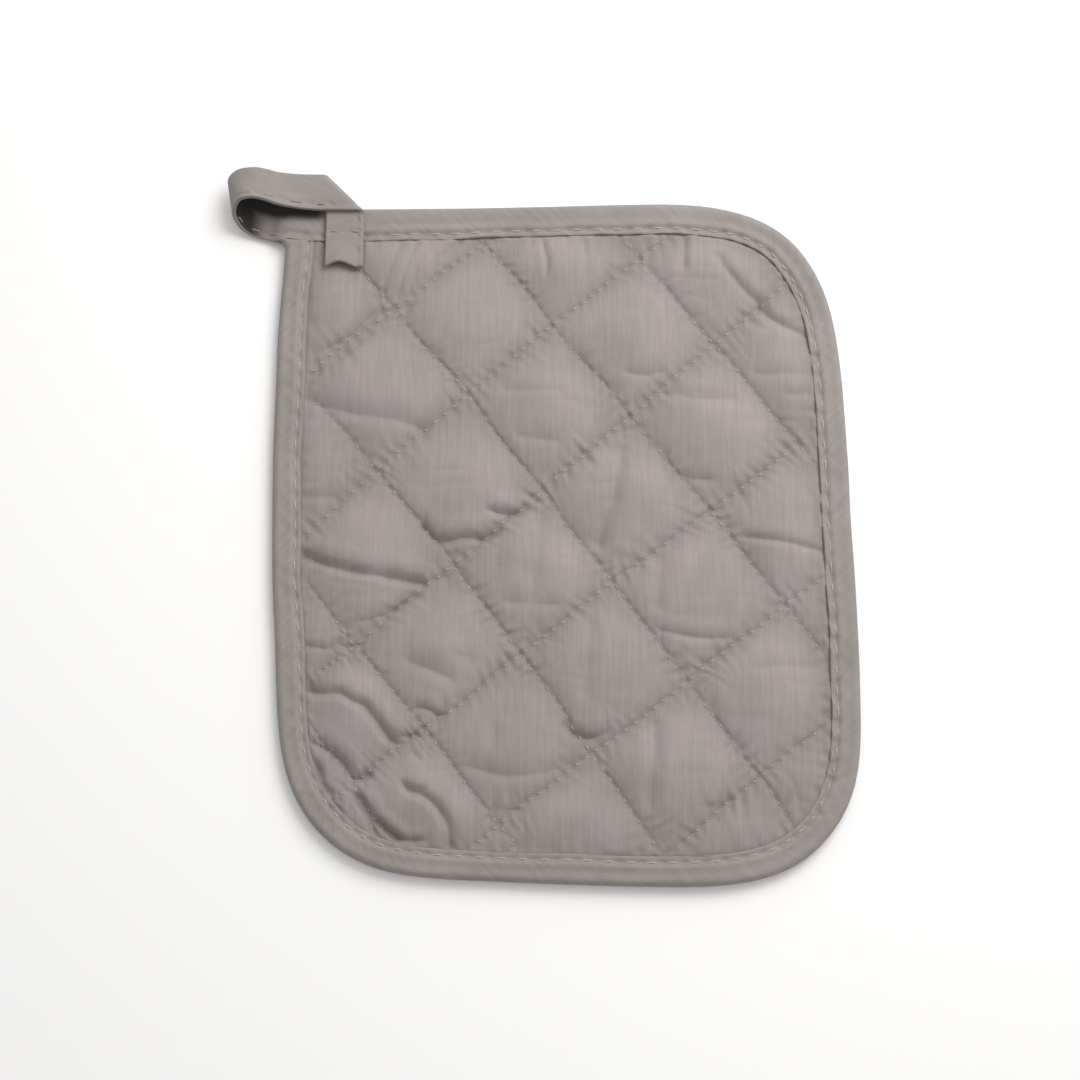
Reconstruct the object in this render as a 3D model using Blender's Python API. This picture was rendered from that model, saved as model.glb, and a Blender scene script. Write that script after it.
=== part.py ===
"""Quilted pot holder, lying flat with its hanging loop at the top left.

Metres, +Z up. It rests on Z = 0 with its loop towards +Y, and the origin is at the middle of the base
of its box. It is three pieces of cloth: the quilted panel, the folded tape that binds the panel's
edge, and the tape's free end, which turns over into the loop and ends as a tab on the top binding.
Each piece is a grid of points for its front and one for its back, joined at the rim.
"""
import math

import bmesh
import bpy
import numpy as np

MM = 0.001

# The body's middle, seen from the middle of the box that also holds the loop
BODY_AT = (8.94 * MM, -5.23 * MM, 0.0)

# Body outline: its corners before rounding, clockwise from the square one under the loop, and how far
# each corner's rounding reaches along its sides
CORNERS = (
    # name, x, y, rounding
    ("loop", -92.5 * MM, 111.7 * MM, 0.0),
    ("top right", 88.8 * MM, 115.6 * MM, 69.0 * MM),
    ("bottom right", 94.8 * MM, -112.4 * MM, 64.0 * MM),
    ("bottom left", -86.4 * MM, -107.9 * MM, 56.0 * MM),
)
# The sides in the same order: how far the middle bows out, the binding's width on the front, and how many
# steps the binding takes between its corners
SIDES = (
    # name, bow, binding width, steps
    ("top", -0.8 * MM, 11.2 * MM, 6),
    ("right", 2.1 * MM, 9.6 * MM, 5),
    ("bottom", 2.9 * MM, 9.4 * MM, 4),
    ("left", 5.6 * MM, 9.6 * MM, 8),
)
ROUNDING_POWER = 3.1
ROUNDING_STEPS = 12

# Quilting: straight rows of stitches in two directions, about 39 mm apart. A row's offset is its distance
# from the body's middle, its angle is measured from +X, and its bow is how far it strays to its side.
ROWS_DOWN = (
    # offset, angle, bow
    (-130.0 * MM, -53.0, 0.0),
    (-102.6 * MM, -54.0, 0.0),
    (-75.5 * MM, -51.0, 0.0),
    (-38.3 * MM, -52.6, 3.2 * MM),
    (0.9 * MM, -52.9, 1.8 * MM),
    (40.2 * MM, -51.7, 1.2 * MM),
    (78.0 * MM, -51.4, 0.6 * MM),
    (117.0 * MM, -51.0, 0.0),
    (132.0 * MM, -51.0, 0.0),
)
ROWS_UP = (
    # offset, angle, bow
    (-154.0 * MM, 38.0, 0.0),
    (-133.6 * MM, 38.0, 0.0),
    (-94.8 * MM, 37.9, 0.0),
    (-53.2 * MM, 41.1, -2.8 * MM),
    (-15.9 * MM, 40.5, 0.8 * MM),
    (24.2 * MM, 37.2, -0.8 * MM),
    (62.6 * MM, 37.3, 0.0),
    (100.8 * MM, 38.3, 0.0),
    (141.0 * MM, 38.5, 0.0),
)
BOW_SPAN = 95 * MM
CELL_STEPS = (0.0, 0.08, 0.22, 0.41, 0.59, 0.78, 0.92)

# Heights in the panel: cloth at a row of stitches, cloth at the middle of a diamond, and the rim that the
# binding presses thin
ROW_TOP = 4.3 * MM
ROW_BOTTOM = 1.6 * MM
CROWN_TOP = 7.6 * MM
CROWN_SINK = 2.4 * MM
CROWN_ROUNDNESS = 0.62
CROWN_FROM_EDGE = 8.0 * MM
CROWN_FULL_AT = 26.0 * MM
EDGE_ROUNDNESS = 0.6
RIM_BOTTOM = 1.4 * MM
RIM_TOP = 3.9 * MM

# Binding: the tape's wall, the whole thickness of the bound edge and how deep its round outer edge is
GAP = 0.3 * MM
WALL = 1.1 * MM
BOUND_THICKNESS = RIM_TOP + GAP + WALL
EDGE_ROLL = 2.3 * MM
SLOT_FROM_EDGE = 1.5 * MM
SLOT_ROLL = 0.5 * MM
PANEL_INSET = SLOT_FROM_EDGE + SLOT_ROLL + GAP
TRIM_BEYOND = 2 * MM
ROLL_STEPS = 6
BUTT_GAP = 0.6 * MM

# Loop: the tape folded shut. Over its root it changes from the top binding's section to its own.
TAPE_WIDTH = 12.7 * MM
TAPE_THICKNESS = 1.5 * MM
TAPE_STEPS = 4
ROOT_LENGTH = 6.0 * MM
ROOT_WIDTH = SIDES[0][2]
ROOT_GAP = 0.45 * MM
ROOT_X = CORNERS[0][1] - ROOT_GAP
ROOT_Y = CORNERS[0][2] - ROOT_WIDTH / 2
ROOT_HEIGHT = BOUND_THICKNESS / 2
FOLD_RADIUS = 0.9 * MM
FOLD_ADVANCE = math.pi * FOLD_RADIUS / math.sqrt(2)
TAB_HEIGHT = BOUND_THICKNESS + GAP + TAPE_THICKNESS / 2
FOLD_HEIGHT = TAB_HEIGHT + 2 * FOLD_RADIUS
UPPER_RUN_X = -82.0 * MM
UPPER_RUN_Y = 115.4 * MM

# The loop's middle line leaves the corner, turns over in a roll and runs back to where the diagonal fold
# begins. Tilt raises the near edge, and lean turns the section in plan, in degrees.
LOOP_SECTIONS = (
    # x, y, height, tilt, lean
    (ROOT_X, ROOT_Y, ROOT_HEIGHT, 0, 0),
    (ROOT_X - 1.8 * MM, ROOT_Y, ROOT_HEIGHT, 0, 0),
    (-98.5 * MM, 107.2 * MM, 1.8 * MM, 2, 0),
    (-103.5 * MM, 108.3 * MM, 1.6 * MM, 6, 0),
    (-108.5 * MM, 110.8 * MM, 3.2 * MM, 12, 6),
    (-111.1 * MM, 114.8 * MM, 6.4 * MM, 17, 9),
    (-109.0 * MM, 117.2 * MM, 10.1 * MM, 20, 6),
    (-104.0 * MM, 117.7 * MM, 11.7 * MM, 20, 0),
    (-99.5 * MM, 117.0 * MM, 11.5 * MM, 19, 0),
    (-95.5 * MM, 115.8 * MM, 10.8 * MM, 16, 0),
    (-89.0 * MM, UPPER_RUN_Y, 9.4 * MM, 9, 0),
    (UPPER_RUN_X, UPPER_RUN_Y, FOLD_HEIGHT, 0, 0),
)
LOOP_SAMPLES = 200
RUN_ON = 50 * MM

# How many sections stand in each stretch of the loop, and how far they slant towards the diagonal crease
# where the stretch ends
SQUARE_SHARE = 0.68
STRETCHES = (
    # sections, slant
    (16, 0.0),
    (5, 1.0),
    (8, 1.0),
    (6, 0.0),
)

# Tab: its middle, its end, how far the end lifts, and the wave across it
TAB_X = -73.3 * MM
TAB_END_Y = 90.6 * MM
TAB_LIFT = 1.3 * MM
TAB_WAVE = 0.7 * MM
TAB_WAVE_SHIFT = 0.12

# Finish
COTTON = (0.353, 0.311, 0.292, 1.0)
SHARP_ANGLE = math.radians(50)


def smoothstep(x):
    """A soft step: 0 below 0, 1 above 1."""
    x = np.clip(x, 0.0, 1.0)
    return x * x * (3 - 2 * x)


def new_material(name, colour):
    """A matt cotton finish."""
    material = bpy.data.materials.new(name)
    material.use_nodes = True
    shader = material.node_tree.nodes["Principled BSDF"]
    shader.inputs["Base Color"].default_value = colour
    shader.inputs["Roughness"].default_value = 0.9
    shader.inputs["Metallic"].default_value = 0.0
    return material


def extrude_to(bm, faces, number, places):
    """Extrude faces and put each new point at the place of its number. The old faces stay, and the moved
    ones are returned."""
    grown = bmesh.ops.extrude_face_region(bm, geom=faces)["geom"]
    for item in grown:
        if isinstance(item, bmesh.types.BMVert):
            item.co = places[item[number]]
    return [item for item in grown if isinstance(item, bmesh.types.BMFace)]


def mesh_object(name, bm, collection):
    """The finished mesh as an object on the body's place."""
    bmesh.ops.recalc_face_normals(bm, faces=bm.faces[:])
    mesh = bpy.data.meshes.new(name)
    bm.to_mesh(mesh)
    bm.free()
    mesh.shade_smooth()
    mesh.set_sharp_from_angle(angle=SHARP_ANGLE)
    piece = bpy.data.objects.new(name, mesh)
    piece.location = BODY_AT
    collection.objects.link(piece)
    return piece


def cloth_between(name, front, back, collection):
    """A closed solid between two grids of points, each an array of rows x columns x 3."""
    rows, columns = front.shape[:2]
    bm = bmesh.new()
    number = bm.verts.layers.int.new("number")
    bmesh.ops.create_grid(bm, x_segments=rows - 1, y_segments=columns - 1, size=1.0)
    for vert in bm.verts:
        row = round((vert.co.x + 1) / 2 * (rows - 1))
        column = round((vert.co.y + 1) / 2 * (columns - 1))
        vert[number] = row * columns + column
        vert.co = front[row, column]
    extrude_to(bm, bm.faces[:], number, back.reshape(-1, 3))
    return mesh_object(name, bm, collection)


def on_body(across, up):
    """The place of a point given as shares, -1 to 1, of the way across and up the body."""
    top_left, top_right, bottom_right, bottom_left = (np.array(corner[1:3]) for corner in CORNERS)
    right = (1 + across)[:, None] / 2
    top = (1 + up)[:, None] / 2
    place = (1 - right) * (top * top_left + (1 - top) * bottom_left)
    place += right * (top * top_right + (1 - top) * bottom_right)
    top_bow, right_bow, bottom_bow, left_bow = (side[1] for side in SIDES)
    place[:, 0] += (1 - up ** 2) * (right[:, 0] * right_bow - (1 - right[:, 0]) * left_bow)
    place[:, 1] += (1 - across ** 2) * (top[:, 0] * top_bow - (1 - top[:, 0]) * bottom_bow)
    return place


def edge_path():
    """The body's edge, clockwise from the square corner and back to it: points, inward normals, and the
    binding's width there."""
    turns = ((-1, 1), (1, 1), (1, -1), (-1, -1))
    half = np.abs([corner[1:3] for corner in CORNERS]).mean(axis=0)
    shares = []
    widths = []
    for index, side in enumerate(SIDES):
        start = np.array(turns[index], float)
        end = np.array(turns[(index + 1) % 4], float)
        along = (end - start) / 2
        size = half[0] if along[0] else half[1]
        leave = start + along * CORNERS[index][3] / size
        arrive = end - along * CORNERS[(index + 1) % 4][3] / size
        for step in range(side[3] + 1):
            shares.append(leave + (arrive - leave) * step / side[3])
            widths.append(side[2])
        rounding = CORNERS[(index + 1) % 4][3]
        if rounding:
            after = SIDES[(index + 1) % 4]
            turn = np.array(turns[(index + 2) % 4], float) - end
            reach_in = along * rounding / size
            reach_out = turn / 2 * rounding / (half[0] if turn[0] else half[1])
            centre = end - reach_in + reach_out
            for step in range(1, ROUNDING_STEPS):
                angle = math.pi / 2 * step / ROUNDING_STEPS
                ahead = math.sin(angle) ** (2 / ROUNDING_POWER)
                aside = math.cos(angle) ** (2 / ROUNDING_POWER)
                shares.append(centre + ahead * reach_in - aside * reach_out)
                widths.append(side[2] + (after[2] - side[2]) * step / ROUNDING_STEPS)
    shares = np.array(shares)
    points = on_body(shares[:, 0], shares[:, 1])
    tangents = np.gradient(points, axis=0)
    tangents /= np.linalg.norm(tangents, axis=1)[:, None]
    normals = np.stack([tangents[:, 1], -tangents[:, 0]], axis=1)
    return points, normals, np.array(widths)


def inset_ring(inset):
    """The edge as a closed ring, moved in by inset, with its square corner kept square."""
    points, normals, widths = edge_path()
    inset = np.broadcast_to(inset, widths.shape)[:, None]
    ring = points + normals * inset
    corner = points[0] + normals[0] * inset[0] + normals[-1] * inset[-1]
    return np.concatenate([corner[None], ring[1:-1]])


def row_line(row):
    """A row of stitches as a point on it, its direction, its sideways direction and its bow."""
    offset, angle, bow = row
    direction = np.array([math.cos(math.radians(angle)), math.sin(math.radians(angle))])
    sideways = np.array([abs(direction[1]), direction[0] if angle < 0 else -direction[0]])
    return offset * sideways, direction, sideways, bow


def crossing(row_down, row_up):
    """Where a row that runs down meets one that runs up, with both rows' bows."""
    start_a, along_a, side_a, bow_a = row_line(row_down)
    start_b, along_b, side_b, bow_b = row_line(row_up)
    steps = np.linalg.solve(np.stack([along_a, -along_b], axis=1), start_b - start_a)
    place = start_a + along_a * steps[0]
    place += side_a * bow_a * (1 - (steps[0] / BOW_SPAN) ** 2)
    place += side_b * bow_b * (1 - (steps[1] / BOW_SPAN) ** 2)
    return place


def distance_from_edge(places):
    """How far each place lies from the body's edge."""
    points, _, _ = edge_path()
    starts = points[:-1]
    runs = points[1:] - starts
    nearest = np.full(places.shape[:-1], np.inf)
    for start, run in zip(starts, runs):
        share = np.clip(((places - start) @ run) / max(run @ run, 1e-12), 0, 1)
        gap = np.linalg.norm(places - start - share[..., None] * run, axis=-1)
        nearest = np.minimum(nearest, gap)
    return nearest


def pillow(share):
    """The rise of wadding between two rows of stitches: 0 at each row, 1 midway, with steep sides."""
    return np.sin(math.pi * share) ** CROWN_ROUNDNESS


def quilted_panel(collection, cutters):
    """Face cloth, wadding and back cloth, quilted in diamonds and pressed thin at the rim."""
    nodes = np.array([[crossing(down, up) for up in ROWS_UP] for down in ROWS_DOWN])
    cells = len(ROWS_DOWN) - 1
    shares = np.array([cell + step for cell in range(cells) for step in CELL_STEPS] + [float(cells)])
    cell = np.minimum(shares.astype(int), cells - 1)
    part = shares - cell
    low, high = nodes[cell], nodes[cell + 1]
    across = low + part[:, None, None] * (high - low)
    plan = across[:, cell] + part[None, :, None] * (across[:, cell + 1] - across[:, cell])
    crown = pillow(part)[:, None] * pillow(part)[None, :]
    inward = (distance_from_edge(plan) - CROWN_FROM_EDGE) / (CROWN_FULL_AT - CROWN_FROM_EDGE)
    crown *= smoothstep(inward) ** EDGE_ROUNDNESS
    top = ROW_TOP + (CROWN_TOP - ROW_TOP) * crown
    bottom = np.maximum(ROW_BOTTOM - CROWN_SINK * crown, 0.0)
    front = np.concatenate([plan, top[..., None]], axis=2)
    back = np.concatenate([plan, bottom[..., None]], axis=2)
    panel = cloth_between("quilted_panel", front, back, collection)

    cut = panel.modifiers.new("trim", "BOOLEAN")
    cut.operation = "INTERSECT"
    cut.solver = "EXACT"
    cut.object = trimmed_edge(cutters)
    panel.data.materials.append(new_material("quilted_cotton", COTTON))


def trimmed_edge(cutters):
    """What the panel is trimmed to: full height inside the binding's mouth, a thin rim inside the fold."""
    _, _, widths = edge_path()
    mouth = inset_ring(widths + GAP)
    rim = inset_ring(PANEL_INSET)
    below = -TRIM_BEYOND
    above = CROWN_TOP + TRIM_BEYOND
    levels = (
        (mouth, below), (mouth, RIM_BOTTOM), (rim, RIM_BOTTOM),
        (rim, RIM_TOP), (mouth, RIM_TOP), (mouth, above),
    )
    bm = bmesh.new()
    number = bm.verts.layers.int.new("number")
    ring = bmesh.ops.create_circle(bm, cap_ends=True, segments=len(mouth), radius=1.0)["verts"]
    for index, vert in enumerate(ring):
        vert[number] = index
        vert.co = (*mouth[index], below)
    caps = [bm.faces[:]]
    for outline, height in levels[1:]:
        caps.append(extrude_to(bm, caps[-1], number, [(x, y, height) for x, y in outline]))
    inner_caps = [face for cap in caps[1:-1] for face in cap]
    bmesh.ops.delete(bm, geom=inner_caps, context="FACES_ONLY")
    trim = mesh_object("trimmed_edge", bm, cutters)
    trim.hide_render = True
    trim.display_type = "WIRE"
    return trim


def edge_binding(collection):
    """The folded tape that wraps the edge. It starts as the top strip at the square corner, and after the
    left side its other end butts under the top strip."""
    points, normals, widths = edge_path()
    butt = points[0, 1] - widths[0] - BUTT_GAP
    last = len(points) - 1
    while points[last, 1] > butt:
        last -= 1
    share = (butt - points[last, 1]) / (points[last + 1, 1] - points[last, 1])
    path = np.column_stack([points, normals, widths])
    end = path[last] + share * (path[last + 1] - path[last])
    path = np.concatenate([path[:last + 1], end[None]])

    turn = np.linspace(math.pi / 2, -math.pi / 2, ROLL_STEPS + 1)
    middle = BOUND_THICKNESS / 2
    outer_depth = EDGE_ROLL * (1 - np.cos(turn))
    outer_height = middle + middle * np.sin(turn)
    slot_depth = SLOT_FROM_EDGE + SLOT_ROLL * (1 - np.cos(turn))
    slot_height = middle + (middle - WALL) * np.sin(turn)
    faces = []
    for depth, height in ((outer_depth, outer_height), (slot_depth, slot_height)):
        rows = np.zeros((len(path), ROLL_STEPS + 3, 3))
        inward = np.tile(depth, (len(path), 1))
        inward = np.column_stack([path[:, 4], inward, path[:, 4]])
        rows[..., :2] = path[:, None, 0:2] + inward[..., None] * path[:, None, 2:4]
        rows[..., 2] = np.concatenate([height[:1], height, height[-1:]])
        faces.append(rows)
    binding = cloth_between("edge_binding", faces[0], faces[1], collection)
    binding.data.materials.append(new_material("cotton_tape", COTTON))


def smooth_curve(rows, share):
    """A curve through the rows of a table, read at shares of the rows' numbers (Catmull and Rom's)."""
    rows = np.array(rows, float)
    ends = np.concatenate([2 * rows[:1] - rows[1:2], rows, 2 * rows[-1:] - rows[-2:-1]])
    first = np.minimum(share.astype(int), len(rows) - 2)
    t = (share - first)[:, None]
    before, here, there, after = (ends[first + step] for step in range(4))
    bend = 2 * before - 5 * here + 4 * there - after
    twist = 3 * here - 3 * there + after - before
    return here + 0.5 * t * (there - before + t * (bend + t * twist))


def folded_over(places):
    """Turn what lies past the diagonal crease over and under, round the fold's radius."""
    crease = TAB_X - FOLD_ADVANCE + UPPER_RUN_Y
    past = (places[..., 0] + places[..., 1] - crease) / math.sqrt(2)
    turn = np.clip(past / FOLD_RADIUS, 0, math.pi)
    beyond = np.maximum(past - math.pi * FOLD_RADIUS, 0)
    moved = FOLD_RADIUS * np.sin(turn) - beyond - np.maximum(past, 0)
    folded = places.copy()
    folded[..., :2] += (moved / math.sqrt(2))[..., None]
    folded[..., 2] -= FOLD_RADIUS * (1 - np.cos(turn))
    return folded


def lifted_end(middle, across):
    """The tab's end: it rises off the panel past the top binding's inner edge, with a wave across it."""
    binding_edge = CORNERS[0][2] - SIDES[0][2]
    rise = smoothstep((binding_edge - middle[..., 1]) / (binding_edge - TAB_END_Y))
    wave = np.cos(2 * math.pi * (across / TAPE_WIDTH - TAB_WAVE_SHIFT))
    return rise * (TAB_LIFT + TAB_WAVE * wave)


def hanging_loop(collection):
    """The tape past the corner: it thins from the bound edge, turns over in a roll, runs back, folds over at
    a diagonal and comes down over the top binding as a tab with a slightly lifted end."""
    line = smooth_curve(LOOP_SECTIONS, np.linspace(0, len(LOOP_SECTIONS) - 1, LOOP_SAMPLES))
    length = np.concatenate([[0.0], np.cumsum(np.linalg.norm(np.diff(line[:, :3], axis=0), axis=1))])
    run_to = length[-1]
    line = np.concatenate([line, line[-1:] + [[RUN_ON, 0, 0, 0, 0]]])
    length = np.append(length, run_to + RUN_ON)

    # The fold takes a diagonal stretch of tape, and the tab is what is left below it
    crease_from = run_to + TAB_X - FOLD_ADVANCE - UPPER_RUN_X
    crease_to = crease_from + 2 * FOLD_ADVANCE
    tab_to = crease_from + UPPER_RUN_Y + FOLD_ADVANCE - TAB_END_Y
    stretch_ends = (SQUARE_SHARE * run_to, crease_from - FOLD_RADIUS, crease_to + FOLD_RADIUS, tab_to)
    counts = np.cumsum([0] + [stretch[0] for stretch in STRETCHES])
    number = np.arange(counts[-1] + 1)
    station = np.interp(number, counts, (0.0, *stretch_ends))[:, None]
    slant = np.interp(number, counts, [0.0] + [stretch[1] for stretch in STRETCHES])[:, None]

    side = np.linspace(-0.5, 0.5, TAPE_STEPS + 1)
    along = station - slant * side * TAPE_WIDTH
    across = side * np.interp(along, [0.0, ROOT_LENGTH], [ROOT_WIDTH, TAPE_WIDTH])
    x, y, z, tilt, lean = (np.interp(along, length, line[:, column]) for column in range(5))
    tilt, lean = np.radians(tilt), np.radians(lean)
    middle = np.stack([
        x - across * np.cos(tilt) * np.sin(lean),
        y + across * np.cos(tilt) * np.cos(lean),
        z - across * np.sin(tilt),
    ], axis=-1)
    middle = folded_over(middle)
    middle[..., 2] += lifted_end(middle, across) * (along > crease_to)

    normal = np.cross(np.gradient(middle, axis=0), np.gradient(middle, axis=1))
    normal /= np.linalg.norm(normal, axis=-1)[..., None]
    half = np.interp(along, [0.0, ROOT_LENGTH], [BOUND_THICKNESS / 2, TAPE_THICKNESS / 2])[..., None]
    loop = cloth_between("hanging_loop", middle + normal * half, middle - normal * half, collection)
    loop.data.materials.append(new_material("cotton_tape_loop", COTTON))


for old in list(bpy.data.objects):
    bpy.data.objects.remove(old, do_unlink=True)
pot_holder = bpy.data.collections.new("pot_holder")
cutter_set = bpy.data.collections.new("cutters")
bpy.context.scene.collection.children.link(pot_holder)
bpy.context.scene.collection.children.link(cutter_set)
quilted_panel(pot_holder, cutter_set)
edge_binding(pot_holder)
hanging_loop(pot_holder)
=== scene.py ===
import math

import bmesh
import bpy
import numpy as np
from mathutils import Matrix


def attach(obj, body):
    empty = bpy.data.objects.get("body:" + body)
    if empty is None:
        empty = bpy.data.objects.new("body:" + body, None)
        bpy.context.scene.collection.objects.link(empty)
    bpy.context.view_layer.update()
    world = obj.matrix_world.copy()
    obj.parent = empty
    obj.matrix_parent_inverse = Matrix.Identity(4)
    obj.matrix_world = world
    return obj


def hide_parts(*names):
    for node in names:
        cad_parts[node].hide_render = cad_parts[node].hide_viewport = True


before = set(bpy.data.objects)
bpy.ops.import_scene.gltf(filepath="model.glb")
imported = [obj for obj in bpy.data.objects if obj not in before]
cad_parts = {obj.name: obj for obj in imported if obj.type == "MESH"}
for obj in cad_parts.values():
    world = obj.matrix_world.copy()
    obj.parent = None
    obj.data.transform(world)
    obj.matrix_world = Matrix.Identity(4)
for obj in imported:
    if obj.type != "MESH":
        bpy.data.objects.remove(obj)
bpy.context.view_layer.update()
MM = 0.001


def add_object(name, data):
    """A new object, linked to the scene."""
    thing = bpy.data.objects.new(name, data)
    bpy.context.scene.collection.objects.link(thing)
    return thing


# ---- Camera ----
# The photograph looks down on the pot holder from 12 degrees off the upright, from the side away from its
# loop, at the distance of a hand-held camera. Its scale comes from the half-inch tape.
CAMERA_ELEVATION = math.radians(78)
CAMERA_DISTANCE = 0.620
CAMERA_TARGET = np.array([1.165, -7.855, 4.0]) * MM
IMAGE_PIXELS = 1080
PIXEL_SIZE = 0.325 * MM
SENSOR_WIDTH = 36.0

camera_data = bpy.data.cameras.new("camera")
camera_data.sensor_width = SENSOR_WIDTH
camera_data.lens = SENSOR_WIDTH * CAMERA_DISTANCE / (IMAGE_PIXELS * PIXEL_SIZE)
camera_data.clip_start = 0.01
camera_data.clip_end = 20.0
camera = add_object("camera", camera_data)
toward_camera = np.array([0.0, -math.cos(CAMERA_ELEVATION), math.sin(CAMERA_ELEVATION)])
camera.location = CAMERA_TARGET + CAMERA_DISTANCE * toward_camera
camera.rotation_euler = (math.pi / 2 - CAMERA_ELEVATION, 0, 0)
bpy.context.scene.camera = camera


# ---- Floor and light ----
# A plain near-white table top under soft daylight: a wide lamp beyond the loop, low enough to shade the
# quilting, and a white room, brighter on the lamp's side.
FLOOR_HALF = 9.0
FLOOR_DROP = 0.1 * MM
FLOOR_WHITE = "#FDFCFB"
KEY_ELEVATION = math.radians(49)
KEY_AZIMUTH = math.radians(52)
KEY_DISTANCE = 0.66
KEY_SIZE = 0.4
KEY_POWER = 2.85
BRIGHT_SIDE = (0.39, 0.50, 0.77)
ROOM_BRIGHT = 0.88
ROOM_DARK = 0.16


def linear(hex_colour):
    """An sRGB hex colour as linear red, green, blue and alpha."""
    parts = [int(hex_colour[start:start + 2], 16) / 255 for start in (1, 3, 5)]
    return [x / 12.92 if x <= 0.04045 else ((x + 0.055) / 1.055) ** 2.4 for x in parts] + [1.0]


def fill_inputs(material, node, inputs):
    """Fill a node's sockets: a value is set there, and another node's output is linked."""
    for name, value in inputs.items():
        if isinstance(value, bpy.types.NodeSocket):
            material.node_tree.links.new(value, node.inputs[name])
        else:
            node.inputs[name].default_value = value


def add_node(material, kind, inputs=(), **settings):
    """Add a node with its own settings, and fill its sockets."""
    node = material.node_tree.nodes.new(kind)
    for name, value in settings.items():
        setattr(node, name, value)
    fill_inputs(material, node, dict(inputs))
    return node


def new_material(name):
    """An empty node material and its Principled shader."""
    material = bpy.data.materials.new(name)
    material.use_nodes = True
    return material, material.node_tree.nodes["Principled BSDF"]


# Sprayed board: matt, almost white
painted_board, shader = new_material("painted_board")
fill_inputs(painted_board, shader, {
    "Base Color": linear(FLOOR_WHITE), "Roughness": 0.85, "Specular IOR Level": 0.2,
})

floor_mesh = bpy.data.meshes.new("floor")
floor_turns = ((-1, -1), (1, -1), (1, 1), (-1, 1))
floor_corners = [(x * FLOOR_HALF, y * FLOOR_HALF, -FLOOR_DROP) for x, y in floor_turns]
floor_mesh.from_pydata(floor_corners, [], [(0, 1, 2, 3)])
floor_mesh.materials.append(painted_board)
floor = add_object("floor", floor_mesh)

key_data = bpy.data.lights.new("key", "AREA")
key_data.shape = "SQUARE"
key_data.size = KEY_SIZE
key_data.energy = KEY_POWER
key = add_object("key", key_data)
key.location = (
    KEY_DISTANCE * math.cos(KEY_ELEVATION) * math.cos(KEY_AZIMUTH),
    KEY_DISTANCE * math.cos(KEY_ELEVATION) * math.sin(KEY_AZIMUTH),
    KEY_DISTANCE * math.sin(KEY_ELEVATION),
)
key.rotation_euler = (0, math.pi / 2 - KEY_ELEVATION, KEY_AZIMUTH)

room = bpy.data.worlds.new("room")
room.use_nodes = True
sky_way = add_node(room, "ShaderNodeTexCoord").outputs["Generated"]
sky_side = add_node(room, "ShaderNodeVectorMath", {0: sky_way, 1: BRIGHT_SIDE}, operation="DOT_PRODUCT")
sky = add_node(room, "ShaderNodeMapRange", {
    "Value": sky_side.outputs["Value"], "From Min": -0.6, "From Max": 1.0,
    "To Min": ROOM_DARK, "To Max": ROOM_BRIGHT,
}).outputs["Result"]
fill_inputs(room, room.node_tree.nodes["Background"], {"Strength": sky, "Color": (1, 1, 1, 1)})
bpy.context.scene.world = room
bpy.context.scene.view_settings.view_transform = "Standard"


# ---- Quilted panel ----
# Two faces of taupe plain-weave cotton over cotton wadding, sewn through in diamonds. It is flat underneath
# where it touches the table, and pressed thin at the rim, where the tape grips it.

# The body's outline, as in the solids: corners before rounding, clockwise from the square one, how far each
# corner's rounding reaches, how far each side's middle bows out, and the tape's width on each side
BODY_AT = np.array([8.94, -5.23]) * MM
CORNER_PLACES = np.array([[-92.5, 111.7], [88.8, 115.6], [94.8, -112.4], [-86.4, -107.9]]) * MM
CORNER_REACHES = np.array([0.0, 69.0, 64.0, 56.0]) * MM
SIDE_BOWS = np.array([-0.8, 2.1, 2.9, 5.6]) * MM
SIDE_WIDTHS = np.array([11.2, 9.6, 9.4, 9.6]) * MM
TOP_WIDER = 0.9 * MM
TOP_WIDER_RUNS = (0, 75 * MM, 8 * MM, 50 * MM)
ROUNDING_POWER = 3.1
STEPS_A_STRETCH = 240
EDGE_STEP = 0.5 * MM
EDGE_STRIDE = 6
SAME_POINT = 0.01 * MM

# Rows of stitches: distance from the body's middle, angle from +X, and how far the row strays to its side
ROWS_DOWN = (
    # offset, angle, bow
    (-130.0, -53.0, 0.0), (-102.6, -54.0, 0.0), (-75.5, -51.0, 0.0),
    (-38.3, -52.6, 3.2), (0.9, -52.9, 1.8), (40.2, -51.7, 1.2),
    (78.0, -51.4, 0.6), (117.0, -51.0, 0.0), (132.0, -51.0, 0.0),
)
ROWS_UP = (
    # offset, angle, bow
    (-154.0, 38.0, 0.0), (-133.6, 38.0, 0.0), (-94.8, 37.9, 0.0),
    (-53.2, 41.1, -2.8), (-15.9, 40.5, 0.8), (24.2, 37.2, -0.8),
    (62.6, 37.3, 0.0), (100.8, 38.3, 0.0), (141.0, 38.5, 0.0),
)
BOW_SPAN = 95.0
ROW_PITCH = 39 * MM
CELLS = 8
FRONT_STEPS = 57
BACK_STEPS = 18
CROWDING = 0.28
ROW_WANDER = 0.8 * MM
ROW_WANDER_SPAN = 17 * MM

# Heights: cloth at a row, cloth at a diamond's middle, and the rim under the tape
ROW_TOP = 4.15 * MM
ROW_BOTTOM = 1.6 * MM
CROWN_TOP = 7.6 * MM
CROWN_SINK = 2.4 * MM
CROWN_ROUNDNESS = 0.88
CROWN_FROM_EDGE = 8.0 * MM
CROWN_FULL_AT = 26.0 * MM
EDGE_ROUNDNESS = 0.6
RIM_TOP = 3.85 * MM
RIM_BOTTOM = 1.45 * MM
PANEL_INSET = 2.3 * MM
LIP_COVER = 0.8 * MM
LIP_BED = 4.15 * MM
LIP_BULGE = 0.5 * MM
FRONT_LOWEST = 2.4 * MM
TAPE_STITCH_PITCH = 6.8 * MM
STITCHES_A_CELL = 10

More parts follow.
